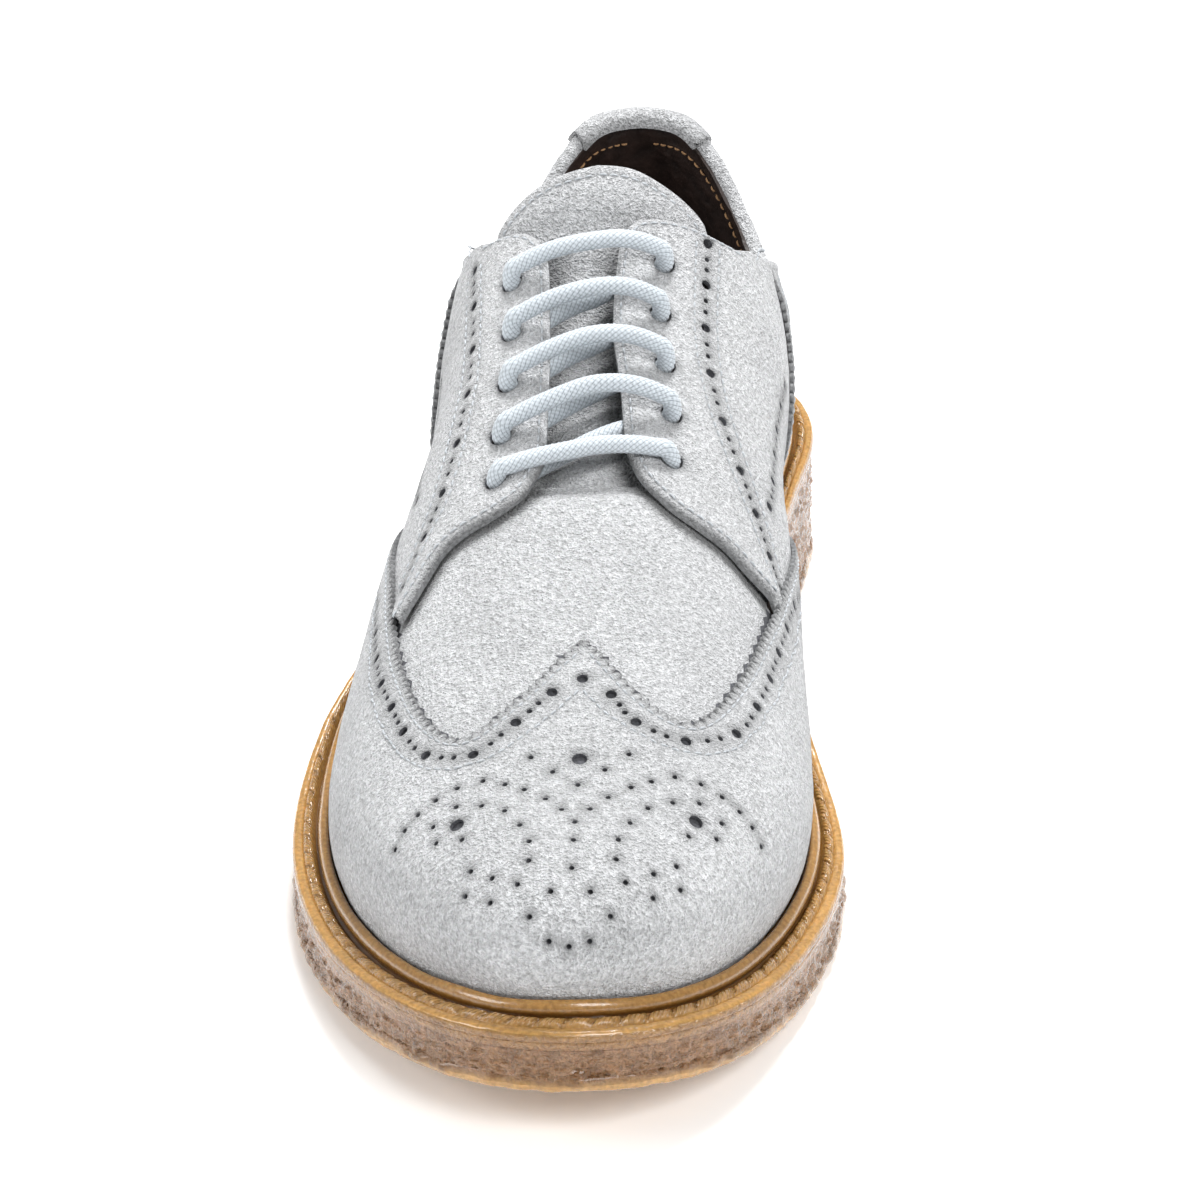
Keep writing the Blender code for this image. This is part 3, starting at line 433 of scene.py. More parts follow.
def waves(points, length, seed, count=24):
    """A smooth noise of about -1 to 1: the scaled sum of sine waves of about one length in random ways."""
    rng = np.random.default_rng(seed)
    way = rng.normal(size=(count, 3))
    way /= np.linalg.norm(way, axis=1, keepdims=True)
    number = 2 * pi / length * rng.uniform(0.7, 1.4, count)
    phase = rng.uniform(0, 2 * pi, count)
    total = np.sin(points @ (way * number[:, None]).T + phase).sum(-1)
    return total / np.sqrt(2 * count)


def share_of(u):
    """Share of the length from the heel at place u: half of one less the cosine of u times pi."""
    return (1 - np.cos(pi * np.abs(u))) / 2


def place_of(share):
    """The place round the outline, 0 to 1, at a share of the length."""
    return np.arccos(1 - 2 * np.asarray(share, float)) / pi


def toe_rise(share):
    """The toe spring's rise: a parabola from SPRING_START."""
    return TOE_SPRING * np.clip((share - SPRING_START) / (1 - SPRING_START), 0, 1) ** 2


def bottom(share):
    """The sole's underside: flat at heel and ball, raised between them and at the toe."""
    arch = step(share, HEEL_END, ARCH_TOP) * (1 - step(share, ARCH_TOP, BALL_START))
    return ARCH_RISE * arch + toe_rise(share)


def welt_top(share):
    """The welt's top, from HEEL_HEIGHT down to FORE_HEIGHT, and up with the toe."""
    fall = step(share, EDGE_FALL_START, EDGE_FALL_END)
    return HEEL_HEIGHT + (FORE_HEIGHT - HEEL_HEIGHT) * fall + toe_rise(share)


def plain_outline(u):
    """The sole's outline: half widths of PLAN on a half circle of the length, medial for u over 0."""
    u = (np.asarray(u, float) + 1) % 2 - 1
    share = share_of(u)
    width = np.where(u < 0, read(PLAN, share, "lateral"), read(PLAN, share, "medial"))
    return np.sign(u) * width * BALL_WIDTH * np.sin(pi * np.abs(u)), SOLE_LENGTH * (0.5 - share)


ROUND = np.linspace(-1, 1, 4001)
CENTRE_X = (plain_outline(ROUND)[0].max() + plain_outline(ROUND)[0].min()) / 2


def outline(u, inset=0.0):
    """The outline centred on the origin, and moved inwards by inset."""
    x, y = plain_outline(u)
    x1, y1 = plain_outline(np.asarray(u) + PROBE_U)
    x0, y0 = plain_outline(np.asarray(u) - PROBE_U)
    length = np.hypot(x1 - x0, y1 - y0)
    return x - CENTRE_X + inset * (y1 - y0) / length, y - inset * (x1 - x0) / length


def margin(u):
    """The welt's width from its edge to the upper."""
    return WELT_MARGIN * read(PLAN, share_of(u), "margin")


def held(share):
    """A share held between the heel's and the toe's centre, rounded over CENTRE_BLEND."""
    def soft(v):
        """About v above 0 and about 0 below it: half of v plus the root of its square and a little."""
        return (v + np.sqrt(v * v + CENTRE_BLEND * CENTRE_BLEND)) / 2
    share = HEEL_CENTRE + soft(share - HEEL_CENTRE)
    return TOE_CENTRE - soft(TOE_CENTRE - share)


def surface(u, t):
    """The upper's outer surface: a column at place u, from the sole at t = 0 to the ridge at t = 1.

    A column goes inwards by a rounded power of its angle, bulges out low down, and rises by another power.
    """
    u, t = np.broadcast_arrays(np.asarray(u, float), np.asarray(t, float))
    share = share_of(u)
    foot_x, foot_y = outline(u, margin(u))
    foot_z = welt_top(share)
    centre = held(share)
    top_x = read(RIDGE, centre, "shift") * BALL_WIDTH - CENTRE_X
    top_y = SOLE_LENGTH * (0.5 - centre)
    top_z = read(RIDGE, centre, "height") * INSTEP_HEIGHT
    angle = np.clip(t, 0, 1) * pi / 2
    inward = 1 - np.cos(angle) ** read(RIDGE, centre, "side_power")
    rise = np.sin(angle) ** read(RIDGE, centre, "rise_power")
    lateral = read(RIDGE, centre, "lateral_bulge")
    medial = read(RIDGE, centre, "medial_bulge")
    lean = np.sign(u) * np.sin(pi * np.abs(u))
    bulge = BALL_WIDTH * ((lateral + medial) / 2 + (medial - lateral) / 2 * lean)
    out_x, out_y = top_x - foot_x, top_y - foot_y
    reach = np.hypot(out_x, out_y)
    go = (inward * reach - BULGE_SCALE * bulge * np.sin(angle * 2) * (1 - t)) / reach
    return np.stack([foot_x + out_x * go, foot_y + out_y * go, foot_z + (top_z - foot_z) * rise], -1)


def placed(line):
    """The surface's points at rows of (u, t)."""
    return surface(line[:, 0], line[:, 1])


def normal(u, t):
    """The surface's outward direction: level at the sole, and the mean of both sides at the ridge."""
    def one_side(u, t):
        """The cross product of the surface's two slopes."""
        along = surface(u + 2 * PROBE_U, t) - surface(u - 2 * PROBE_U, t)
        up = surface(u, t) - surface(u, t - PROBE_T)
        n = np.cross(up, along)
        return n / np.linalg.norm(n, axis=-1, keepdims=True)
    u, t = np.broadcast_arrays(np.asarray(u, float), np.asarray(t, float))
    t = np.clip(t, LEVEL_START, 1 - PROBE_T / 2)
    n = one_side(u, t)
    both = n + np.where((t > RIDGE_RISE)[..., None], one_side(-u, t), n)
    both[..., 2] *= step(t, LEVEL_START, LEVEL_END)
    return both / np.linalg.norm(both, axis=-1, keepdims=True)


def lifted(line, off):
    """Points off metres outside the surface at rows of (u, t)."""
    off = np.broadcast_to(off, len(line))
    return placed(line) + normal(line[:, 0], line[:, 1]) * off[:, None]


def rise_at(u, z):
    """The t at which the column at u reaches height z."""
    share = share_of(u)
    centre = held(share)
    foot_z = welt_top(share)
    top_z = read(RIDGE, centre, "height") * INSTEP_HEIGHT
    part = np.clip((z - foot_z) / (top_z - foot_z), 0.02, 0.98)
    return np.arcsin(part ** (1 / read(RIDGE, centre, "rise_power"))) * 2 / pi


def unrolled(line):
    """The surface laid flat: each column straight out from the ridge, by the root of the sum of the squares
    of its way out and its way down."""
    u, t = line[:, 0], np.clip(line[:, 1], 0, 1)
    foot_x, foot_y = outline(u, margin(u))
    share = share_of(u)
    centre = held(share)
    top_x = read(RIDGE, centre, "shift") * BALL_WIDTH - CENTRE_X
    top_y = SOLE_LENGTH * (0.5 - centre)
    out = np.stack([foot_x - top_x, foot_y - top_y], -1)
    reach = np.linalg.norm(out, axis=-1)
    fall = read(RIDGE, centre, "height") * INSTEP_HEIGHT - welt_top(share)
    far = reach * np.cos(t * pi / 2) ** read(RIDGE, centre, "side_power")
    down = fall * (1 - np.sin(t * pi / 2) ** read(RIDGE, centre, "rise_power"))
    return np.stack([top_x, top_y], -1) + out * (np.hypot(far, down) / reach)[:, None]


def side_edge(table, side):
    """One side's run of an edge table as rows of (u, t); side is -1 for lateral and 1 for medial."""
    word = "medial" if side > 0 else "lateral"
    share = np.array([getattr(row, word + "_share") for row in table])
    rise = np.array([getattr(row, word + "_rise") for row in table])
    return np.stack([side * place_of(share), rise], -1)


def punched(table, side):
    """A row of punches on one side, as rows of (u, t)."""
    return np.array([(side * place_of(row.share), row.rise) for row in table])


def collar_height(share):
    """The collar's height over the floor at a share of the length."""
    return BACK_HEIGHT * read(COLLAR, share, "height")


def collar_edge(side, start, end):
    """The collar of one side between two shares, as rows of (u, t)."""
    share = np.linspace(start, end, 24)
    u = side * place_of(share)
    return np.stack([u, rise_at(u, collar_height(share))], -1)


def curved(points, steps=CURVE_STEPS):
    """A smooth curve through rows of coordinates, with some steps to a row."""
    p = np.asarray(points, float)
    padded = np.concatenate([2 * p[:1] - p[1:2], p, 2 * p[-1:] - p[-2:-1]])
    a, b, c, d = padded[:-3], padded[1:-2], padded[2:-1], padded[3:]
    s = np.linspace(0, 1, steps, endpoint=False)[:, None, None]
    run = 0.5 * (2 * b + (c - a) * s + (2 * a - 5 * b + 4 * c - d) * s ** 2
                 + (3 * b - a - 3 * c + d) * s ** 3)
    return np.concatenate([run.transpose(1, 0, 2).reshape(-1, p.shape[1]), p[-1:]])


def edge_curve(table, side):
    """A smooth run of an edge table, curved in the share of the way out from the ridge."""
    line = side_edge(table, side)
    power = read(RIDGE, held(share_of(line[:, 0])), "side_power")
    line[:, 1] = np.cos(np.clip(line[:, 1], 0, 1) * pi / 2) ** power
    line = curved(line)
    return np.stack(from_ridge(line[:, 0], np.maximum(line[:, 1], 0)), -1)


def counter_edge(side):
    """The counter's front edge on one side, from the collar down to the sole."""
    start = collar_edge(side, COUNTER_TOP, COUNTER_TOP)[:1]
    return curved(np.concatenate([start, side_edge(COUNTER, side)]))


def lengths(points):
    """Distance along a line of points, from its start."""
    return np.concatenate([[0], np.cumsum(np.linalg.norm(np.diff(points, axis=0), axis=1))])


def spaced(line, pitch):
    """A line of (u, t) resampled at about one even pitch on the surface, with both its ends."""
    along = lengths(surface(line[:, 0], np.minimum(line[:, 1], 1)))
    count = max(int(round(along[-1] / pitch)), 1)
    at = np.linspace(0, along[-1], count + 1)
    return np.stack([np.interp(at, along, line[:, k]) for k in (0, 1)], -1)


def from_ridge(u, out):
    """The place (u, t) at a share of the way out from the ridge; under 0 it lies on the other side."""
    u = np.where(out < 0, -u, u)
    power = read(RIDGE, held(share_of(u)), "side_power")
    return u, np.arccos(np.clip(np.abs(out), 0, 1) ** (1 / power)) * 2 / pi


def shifted(line, shift):
    """Rows of (u, t) moved along the surface by vectors: Newton's steps on the surface's two slopes, with
    the way out from the ridge as the second coordinate. A row off its goal takes the nearest node."""
    u, t = line[:, 0].copy(), np.clip(line[:, 1], 0, 1)
    goal = surface(u, t) + shift
    out = np.cos(t * pi / 2) ** read(RIDGE, held(share_of(u)), "side_power")

    def at(u, out):
        """The surface's point at a place given by its way out from the ridge."""
        return surface(*from_ridge(u, out))

    for _ in range(4):
        du = (at(u + PROBE_U, out) - at(u - PROBE_U, out)) / (2 * PROBE_U)
        dv = (at(u, out + PROBE_T) - at(u, out - PROBE_T)) / (2 * PROBE_T)
        left = goal - at(u, out)
        a, b, c = (du * du).sum(1), (du * dv).sum(1), (dv * dv).sum(1)
        p, q = (du * left).sum(1), (dv * left).sum(1)
        det = a * c - b * b + 1e-12
        u = u + np.clip((c * p - b * q) / det, -0.02, 0.02)
        out = np.clip(out + (a * q - b * p) / det, -1, 0.999)
    u, t = from_ridge(u, out)
    lost = np.linalg.norm(goal - surface(u, t), axis=1) > MISS
    if lost.any():
        u[lost], t[lost] = nearest_place(goal[lost])
    return np.stack([u, np.maximum(t, BASE_RISE)], -1)


def nearest_place(goal):
    """The nearest node, as u and t, of a close net on the surface, one point at a time."""
    net_u, net_out = np.meshgrid(np.linspace(-1, 1, 1201), np.linspace(0, 1, 121) ** 1.3)
    net_u, net_t = from_ridge(net_u.ravel(), net_out.ravel())
    net = surface(net_u, net_t)
    best = np.array([((net - point) ** 2).sum(1).argmin() for point in goal])
    return net_u[best], net_t[best]


def over_plan(x, y):
    """The place (u, t) on the shoe's top over plan places."""
    net_u, net_out = np.meshgrid(np.linspace(-1, 1, 1201), np.linspace(0, 0.9, 121))
    net_u, net_t = from_ridge(net_u.ravel(), net_out.ravel())
    net = surface(net_u, net_t)
    best = np.array([np.hypot(net[:, 0] - a, net[:, 1] - b).argmin() for a, b in zip(x, y)])
    line = np.stack([net_u[best], net_t[best]], -1)
    for _ in range(2):
        left = np.stack([x, y, placed(line)[:, 2]], -1) - placed(line)
        line = shifted(line, left)
    return line


def beside(line, by):
    """A line of (u, t) moved sideways on the surface: by metres to its left, seen from outside."""
    here = placed(line)
    along = np.gradient(here, axis=0)
    left = np.cross(normal(line[:, 0], line[:, 1]), along)
    left /= np.linalg.norm(left, axis=1, keepdims=True) + 1e-12
    return shifted(line, left * np.broadcast_to(by, len(line))[:, None])


def pinked(line, pitch, depth):
    """A line of (u, t) cut to scallops: moved to its left by depth times one less a rectified sine to a
    power."""
    line = spaced(line, pitch / SCALLOP)
    return beside(line, depth * (1 - np.abs(np.sin(pi * np.arange(len(line)) / SCALLOP)) ** 0.7))


def foot_line(start, end, pitch=0.003):
    """The leather's bottom edge between two places round the outline, ends left out."""
    u = np.linspace(start, end, max(int(abs(end - start) * SOLE_LENGTH * 1.2 / pitch), 3))[1:-1]
    return np.stack([(u + 1) % 2 - 1, np.full(len(u), BASE_RISE)], -1)


def circles(holes, grow, count):
    """Rings of (u, t), true circles on the surface, for rows of (u, t, diameter), each diameter grown."""
    u, t, diameter = np.repeat(holes, count, axis=0).T
    turn = np.tile(np.linspace(0, 2 * pi, count, endpoint=False), len(holes))[:, None]
    first = surface(u + PROBE_U, t) - surface(u - PROBE_U, t)
    first /= np.linalg.norm(first, axis=1, keepdims=True)
    second = np.cross(normal(u, t), first)
    shift = (diameter[:, None] + grow) / 2 * (np.cos(turn) * first + np.sin(turn) * second)
    return shifted(np.stack([u, t], -1), shift).reshape(len(holes), count, 2)


def inside(points, loop):
    """Which flat points lie inside a closed flat loop, by counting crossings."""
    found = np.zeros(len(points), bool)
    a, b = loop, np.roll(loop, -1, axis=0)
    rise = np.where(b[:, 1] == a[:, 1], 1.0, b[:, 1] - a[:, 1])
    for start in range(0, len(points), 4000):
        x, y = points[start:start + 4000, :1], points[start:start + 4000, 1:]
        crosses = (a[:, 1] > y) != (b[:, 1] > y)
        meets = a[:, 0] + (y - a[:, 1]) * (b[:, 0] - a[:, 0]) / rise
        found[start:start + 4000] = (crosses & (x < meets)).sum(1) % 2 == 1
    return found


def near(points, targets):
    """Distance of each point to the nearest target, from the squares' sum less twice the dot product."""
    if len(targets) == 0:
        return np.full(len(points), 1.0)
    square = (targets * targets).sum(1)
    best = np.empty(len(points))
    for start in range(0, len(points), 2000):
        part = points[start:start + 2000]
        gap = (part * part).sum(1)[:, None] + square - 2 * part @ targets.T
        best[start:start + 2000] = np.sqrt(np.maximum(gap.min(1), 0))
    return best


def even_fill(pitch):
    """Rows of (u, t) over the whole surface, a pitch apart along a row and about a pitch between rows."""
    rows = int(round(INSTEP_HEIGHT / pitch))
    fine = np.linspace(-1, 1, 2401)
    found = []
    for i, t in enumerate((np.arange(rows) + 0.5) / rows):
        along = lengths(surface(fine, t))
        count = max(int(along[-1] / pitch), 8)
        at = (np.arange(count) + 0.5 * (i % 2)) * along[-1] / count
        found.append(np.stack([np.interp(at, along, fine), np.full(count, t)], -1))
    ridge = np.linspace(place_of(HEEL_CENTRE), place_of(TOE_CENTRE), int(RIDGE_FILL / pitch))
    found.append(np.stack([ridge, np.ones(len(ridge))], -1))
    return np.concatenate(found)


def outward(points, faces):
    """The faces turned to point outwards, by the sign of the volume that they close."""
    tris = np.concatenate([faces[:, [0, 1, 2]], faces[:, [0, 2, 3]]]) if faces.shape[1] == 4 else faces
    a, b, c = points[tris[:, 0]], points[tris[:, 1]], points[tris[:, 2]]
    return faces if (a * np.cross(b, c)).sum() > 0 else faces[:, ::-1]


def add_piece(name, points, faces, finishes, marks=None, nodes=(), attributes=None):
    """One closed piece from arrays, with its materials, its place in the frame and its attributes."""
    mesh = bpy.data.meshes.new(name)
    wide = faces.shape[1]
    mesh.vertices.add(len(points))
    mesh.vertices.foreach_set("co", np.asarray(points, np.float32).ravel())
    mesh.loops.add(faces.size)
    mesh.loops.foreach_set("vertex_index", np.asarray(faces, np.int32).ravel())
    mesh.polygons.add(len(faces))
    mesh.polygons.foreach_set("loop_start", np.arange(0, faces.size, wide, dtype=np.int32))
    if marks is not None:
        mesh.polygons.foreach_set("material_index", np.asarray(marks, np.int32))
    for finish in finishes:
        mesh.materials.append(finish)
    mesh.update(calc_edges=True)
    mesh.shade_smooth()
    mesh.set_sharp_from_angle(angle=SHARP_ANGLE)
    for key, values in (attributes or {}).items():
        data = mesh.attributes.new(key, "FLOAT", "POINT").data
        data.foreach_set("value", np.asarray(values, np.float32))
    mesh.validate()
    piece = bpy.data.objects.new(name, mesh)
    bpy.context.scene.collection.objects.link(piece)
    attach(piece, "root")
    if nodes:
        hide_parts(*nodes)
    return piece


def joined(spots, edges):
    """The triangles of a constrained Delaunay mesh over flat spots, without those at crossings of edges."""
    _, _, faces, origin, _, _ = delaunay_2d_cdt(spots.tolist(), edges, [], 0, 1e-7)
    first_of = np.array([o[0] if len(o) else -1 for o in origin])
    tris = first_of[np.array(faces)]
    return tris[(tris >= 0).all(1)]


def walled(tris, top, out):
    """A sheet's triangles turned outwards, a second face, and walls between them at each edge that has one
    triangle. Also gives the point at which each of those edges starts."""
    facing = np.cross(top[tris[:, 1]] - top[tris[:, 0]], top[tris[:, 2]] - top[tris[:, 0]])
    flip = (facing * out[tris[:, 0]]).sum(1) < 0
    tris[flip] = tris[flip][:, ::-1]
    halves = np.concatenate([tris[:, [0, 1]], tris[:, [1, 2]], tris[:, [2, 0]]])
    n = len(top)
    single = halves[~np.isin(halves[:, 0] * n + halves[:, 1], halves[:, 1] * n + halves[:, 0])]
    a, b = single[:, 0], single[:, 1]
    walls = np.concatenate([np.stack([b, a, a + n], -1), np.stack([b, a + n, b + n], -1)])
    return np.concatenate([tris, tris[:, ::-1] + n, walls]), a


def looped(start, count):
    """The edges of a closed run of points."""
    return [(start + i, start + (i + 1) % count) for i in range(count)]


def cut_leather(name, loop, outer, inner, nodes, raw=None, holes=(), seams=(),
                edge_drop=0.00035, round_way=0.0011, raw_way=0.0007):
    """A piece of leather: the surface inside a loop of (u, t), from outer to inner metres off it.

    Points along the edges, round the holes and beside the seams, and an even fill elsewhere, are joined to
    triangles in the flat domain. Both faces get the same triangles, and walls join them at each rim. The
    outer face rounds down at its rims and sinks along its seams.
    """
    sizes = bpy.context.scene.shoe_sizes
    raw = loop if raw is None else raw
    loop_at = placed(loop)
    rims, rings, groups = [loop], [], []
    holes = np.array(holes, float).reshape(-1, 3)
    wide = holes[:, 2] > LARGE_FROM
    for group, count in ((holes[wide], 16), (holes[~wide], 8)):
        if len(group):
            rims += list(circles(group, 0.0, count))
            rings += list(circles(group, 0.0008, count))
            # A triangle inside a ring has its middle nearer to the ring's than this share of the radius
            part = (cos(pi / count) + (1 + 2 * cos(2 * pi / count)) / 3) / 2
            groups += [(surface(row[:1], row[1:2]), row[2] / 2 * part) for row in group]
    hole_rims = np.concatenate(rims[1:]) if len(holes) else np.zeros((0, 2))
    hole_at = placed(hole_rims)
    seam_line = np.concatenate([spaced(s, 0.0012) for s in seams]) if len(seams) else np.zeros((0, 2))
    seam_at = placed(seam_line)
    flat_loop = unrolled(loop)

    def outside_holes(at):
        """Which points lie outside all the holes, by their distance to each hole's middle."""
        keep = np.ones(len(at), bool)
        for middle, radius in groups:
            keep &= ((at - middle) ** 2).sum(1) > radius * radius
        return keep

    def clear(spots, from_rim, from_hole, others=None, from_others=0.0):
        """The spots inside the loop and outside the holes that keep each distance."""
        at = placed(spots)
        keep = inside(unrolled(spots), flat_loop)
        keep &= near(at, loop_at) > from_rim
        keep &= near(at, hole_at) > from_hole
        if others is not None and len(others):
            keep &= near(at, placed(others)) > from_others
        return spots[keep & outside_holes(at)]

    x, y = flat_loop.T
    turned = np.sign((x * np.roll(y, -1) - np.roll(x, -1) * y).sum())
    wrapped = np.concatenate([loop[-1:], loop, loop[:1]])
    near_rims = []
    for by in (0.4 * round_way, round_way):
        near_rims.append(clear(beside(wrapped, by * turned)[1:-1], by * 0.75, 0.0004))
    near_rims = np.concatenate(near_rims)
    near_holes = clear(np.concatenate(rings), 0.0004, 0.00025) if rings else np.zeros((0, 2))
    beside_seams = []
    for line in seams:
        line = spaced(line, 0.0012)
        for by in (-0.0005, 0.0, 0.0005):
            beside_seams.append(beside(line, by))
    if beside_seams:
        beside_seams = clear(np.concatenate(beside_seams), 0.0005, 0.0005)
    else:
        beside_seams = np.zeros((0, 2))
    first = np.concatenate([near_rims, near_holes, beside_seams])
    grid = clear(even_fill(sizes.facet), sizes.facet * 0.45, sizes.facet * 0.3, first, sizes.facet * 0.42)
    edges, start = [], 0
    for rim in rims:
        edges += looped(start, len(rim))
        start += len(rim)
    uv = np.concatenate(rims + [first, grid])
    spots = unrolled(uv)
    tris = joined(spots, edges)
    on, out = placed(uv), normal(uv[:, 0], uv[:, 1])
    tris = tris[inside(spots[tris].mean(1), flat_loop) & outside_holes(on[tris].mean(1))]
    to_rim, to_hole, to_seam = near(on, loop_at), near(on, hole_at), near(on, seam_at)
    outer_off, inner_off = outer(uv), inner(uv)
    drop = edge_drop * (1 - np.clip(to_rim / round_way, 0, 1)) ** 2
    drop = drop + 0.00030 * (1 - np.clip(to_hole / 0.0004, 0, 1)) ** 2
    drop = drop + 0.00020 * bell(to_seam, 0.0004)
    rumple = 0.00010 * waves(on, 0.020, 3) + 0.00005 * waves(on, 0.006, 4)
    top = on + out * (outer_off - drop + rumple * step(to_rim, 0, 0.002))[:, None]
    low = on + out * inner_off[:, None]
    every, wall_starts = walled(tris, top, out)
    hole_wall = np.tile(wall_starts >= len(loop), 2)
    # Hole walls take the painted hole shade; the other rims take the raw edge's finish
    marks = np.concatenate([np.zeros(len(tris)), np.ones(len(tris)), np.where(hole_wall, 3, 2)])
    used, renamed = np.unique(every, return_inverse=True)
    every = renamed.reshape(every.shape)
    to_raw_edge_and_shade = near(on, placed(raw))
    # Marks for the finish: darker raw fibres along the raw lines, except on the tongue, where those lines are
    # the facings' edges and the band is painted shade; darker raw fibres round the holes, and a darker nap
    # along the seams
    attributes = {
        "raw": np.tile(bell(to_raw_edge_and_shade, raw_way), 2)[used],
        "worn": np.tile(bell(to_hole, 0.00055) * 0.9 + bell(to_seam, 0.0004) * 0.5, 2)[used],
    }
    points = np.concatenate([top, low])[used]
    return add_piece(name, points, every, leather_finishes(), marks, nodes, attributes)


def grid_quads(turns, count, wrap_turns=True, wrap_count=True):
    """The quads of a grid of points, row after row, joined round its last row and column where they wrap."""
    i = np.arange(turns if wrap_turns else turns - 1)
    j = np.arange(count if wrap_count else count - 1)
    i, j = np.meshgrid(i, j, indexing="ij")
    i2, j2 = (i + 1) % turns, (j + 1) % count
    return np.stack([i * count + j, i2 * count + j, i2 * count + j2, i * count + j2], -1).reshape(-1, 4)


def closed_grid(name, rings, finishes, nodes, attributes):
    """A piece from rings of points: each ring closed, and the last ring joined to the first."""
    points = rings.reshape(-1, 3)
    quads = outward(points, grid_quads(*rings.shape[:2]))
    return add_piece(name, points, quads, finishes, None, nodes, attributes)


def add_node(tree, kind, inputs=None, **settings):
    """One node with its settings; an input is a value, or a socket to link from."""
    node = tree.nodes.new(kind)
    for key, value in settings.items():
        setattr(node, key, value)
    for key, value in (inputs or {}).items():
        if isinstance(value, bpy.types.NodeSocket):
            tree.links.new(value, node.inputs[key])
        else:
            node.inputs[key].default_value = value
    return node


def new_finish(name, **sockets):
    """An empty material with its shader's sockets set: returns the material, its tree and its shader."""
    finish = bpy.data.materials.new(name)
    finish.use_nodes = True
    tree = finish.node_tree
    shader = tree.nodes["Principled BSDF"]
    for key, value in sockets.items():
        shader.inputs[key.replace("_", " ")].default_value = value
    return finish, tree, shader


def mottled(tree, where, colour, size, dark, light, detail=3.0):
    """A colour taken from dark to light times itself by a noise of one grain size in metres."""
    noise = add_node(tree, "ShaderNodeTexNoise", {"Vector": where, "Scale": 1 / size, "Detail": detail})
    amount = add_node(tree, "ShaderNodeMapRange", {
        "Value": noise.outputs["Fac"], "From Min": 0.3, "From Max": 0.7, "To Min": dark, "To Max": light})
    mix = add_node(tree, "ShaderNodeVectorMath", {
        0: colour, 1: amount.outputs["Result"]}, operation="MULTIPLY")
    return mix.outputs["Vector"], noise.outputs["Fac"]


def suede_finish(name, colour, raw):
    """Calf suede, brushed and matt: fibres of about 0.5 mm in clumps of about 1 mm, laid in light and dark
    patches of some 20 mm where the nap was stroked, darker raw fibres at cut edges and holes, a darker nap
    along the seams, and painted shade under the loose flaps and beside the facings."""
    finish, tree, shader = new_finish(
        name, Roughness=0.95, Sheen_Weight=0.25, Sheen_Roughness=0.45, IOR=1.45)
    where = add_node(tree, "ShaderNodeTexCoord").outputs["Object"]
    base = add_node(tree, "ShaderNodeRGB")
    base.outputs[0].default_value = colour
    patches, _ = mottled(tree, where, base.outputs[0], size=0.022, dark=0.93, light=1.05, detail=2.0)
    clumps, height = mottled(tree, where, patches, size=0.0011, dark=0.70, light=1.20, detail=4.0)
    fibres, fine = mottled(tree, where, clumps, size=0.0005, dark=0.70, light=1.18, detail=2.0)
    # Raw edges, wear and painted shade: both marks take the nap towards the raw edge's grey
    edge, worn = (add_node(tree, "ShaderNodeAttribute", attribute_name=key).outputs["Fac"]
                  for key in ("raw", "worn"))
    ragged = add_node(tree, "ShaderNodeMapRange", {
        "Value": height, "From Min": 0.35, "From Max": 0.65, "To Min": 0.5, "To Max": 1.3})
    amount = add_node(tree, "ShaderNodeMath", {0: edge, 1: worn}, operation="ADD")
    amount = add_node(tree, "ShaderNodeMath", {
        0: amount.outputs[0], 1: ragged.outputs["Result"]}, operation="MULTIPLY", use_clamp=True)
    mix = add_node(tree, "ShaderNodeMix", {
        "Factor": amount.outputs[0], "A": fibres, "B": raw}, data_type="RGBA")
    tree.links.new(mix.outputs["Result"], shader.inputs["Base Color"])
    relief = add_node(tree, "ShaderNodeMath", {0: height, 1: fine}, operation="ADD")
    bump = add_node(tree, "ShaderNodeBump", {
        "Height": relief.outputs[0], "Distance": 0.0017, "Strength": 1.0})
    tree.links.new(bump.outputs["Normal"], shader.inputs["Normal"])
    return finish


def rough_finish(name, colour, grain, dark, light, relief, **sockets):
    """A finish with one colour, mottled by a noise of one grain size in metres and by a broader one of 14
    grains, and a relief of the grain."""
    finish, tree, shader = new_finish(name, **sockets)
    where = add_node(tree, "ShaderNodeTexCoord").outputs["Object"]
    base = add_node(tree, "ShaderNodeRGB")
    base.outputs[0].default_value = colour
    broad, _ = mottled(tree, where, base.outputs[0], grain * 14, (1 + dark) / 2, (1 + light) / 2, 2.0)
    close, height = mottled(tree, where, broad, grain, dark, light, 4.0)
    tree.links.new(close, shader.inputs["Base Color"])
    bump = add_node(tree, "ShaderNodeBump", {"Height": height, "Distance": relief, "Strength": 0.7})
    tree.links.new(bump.outputs["Normal"], shader.inputs["Normal"])
    return finish


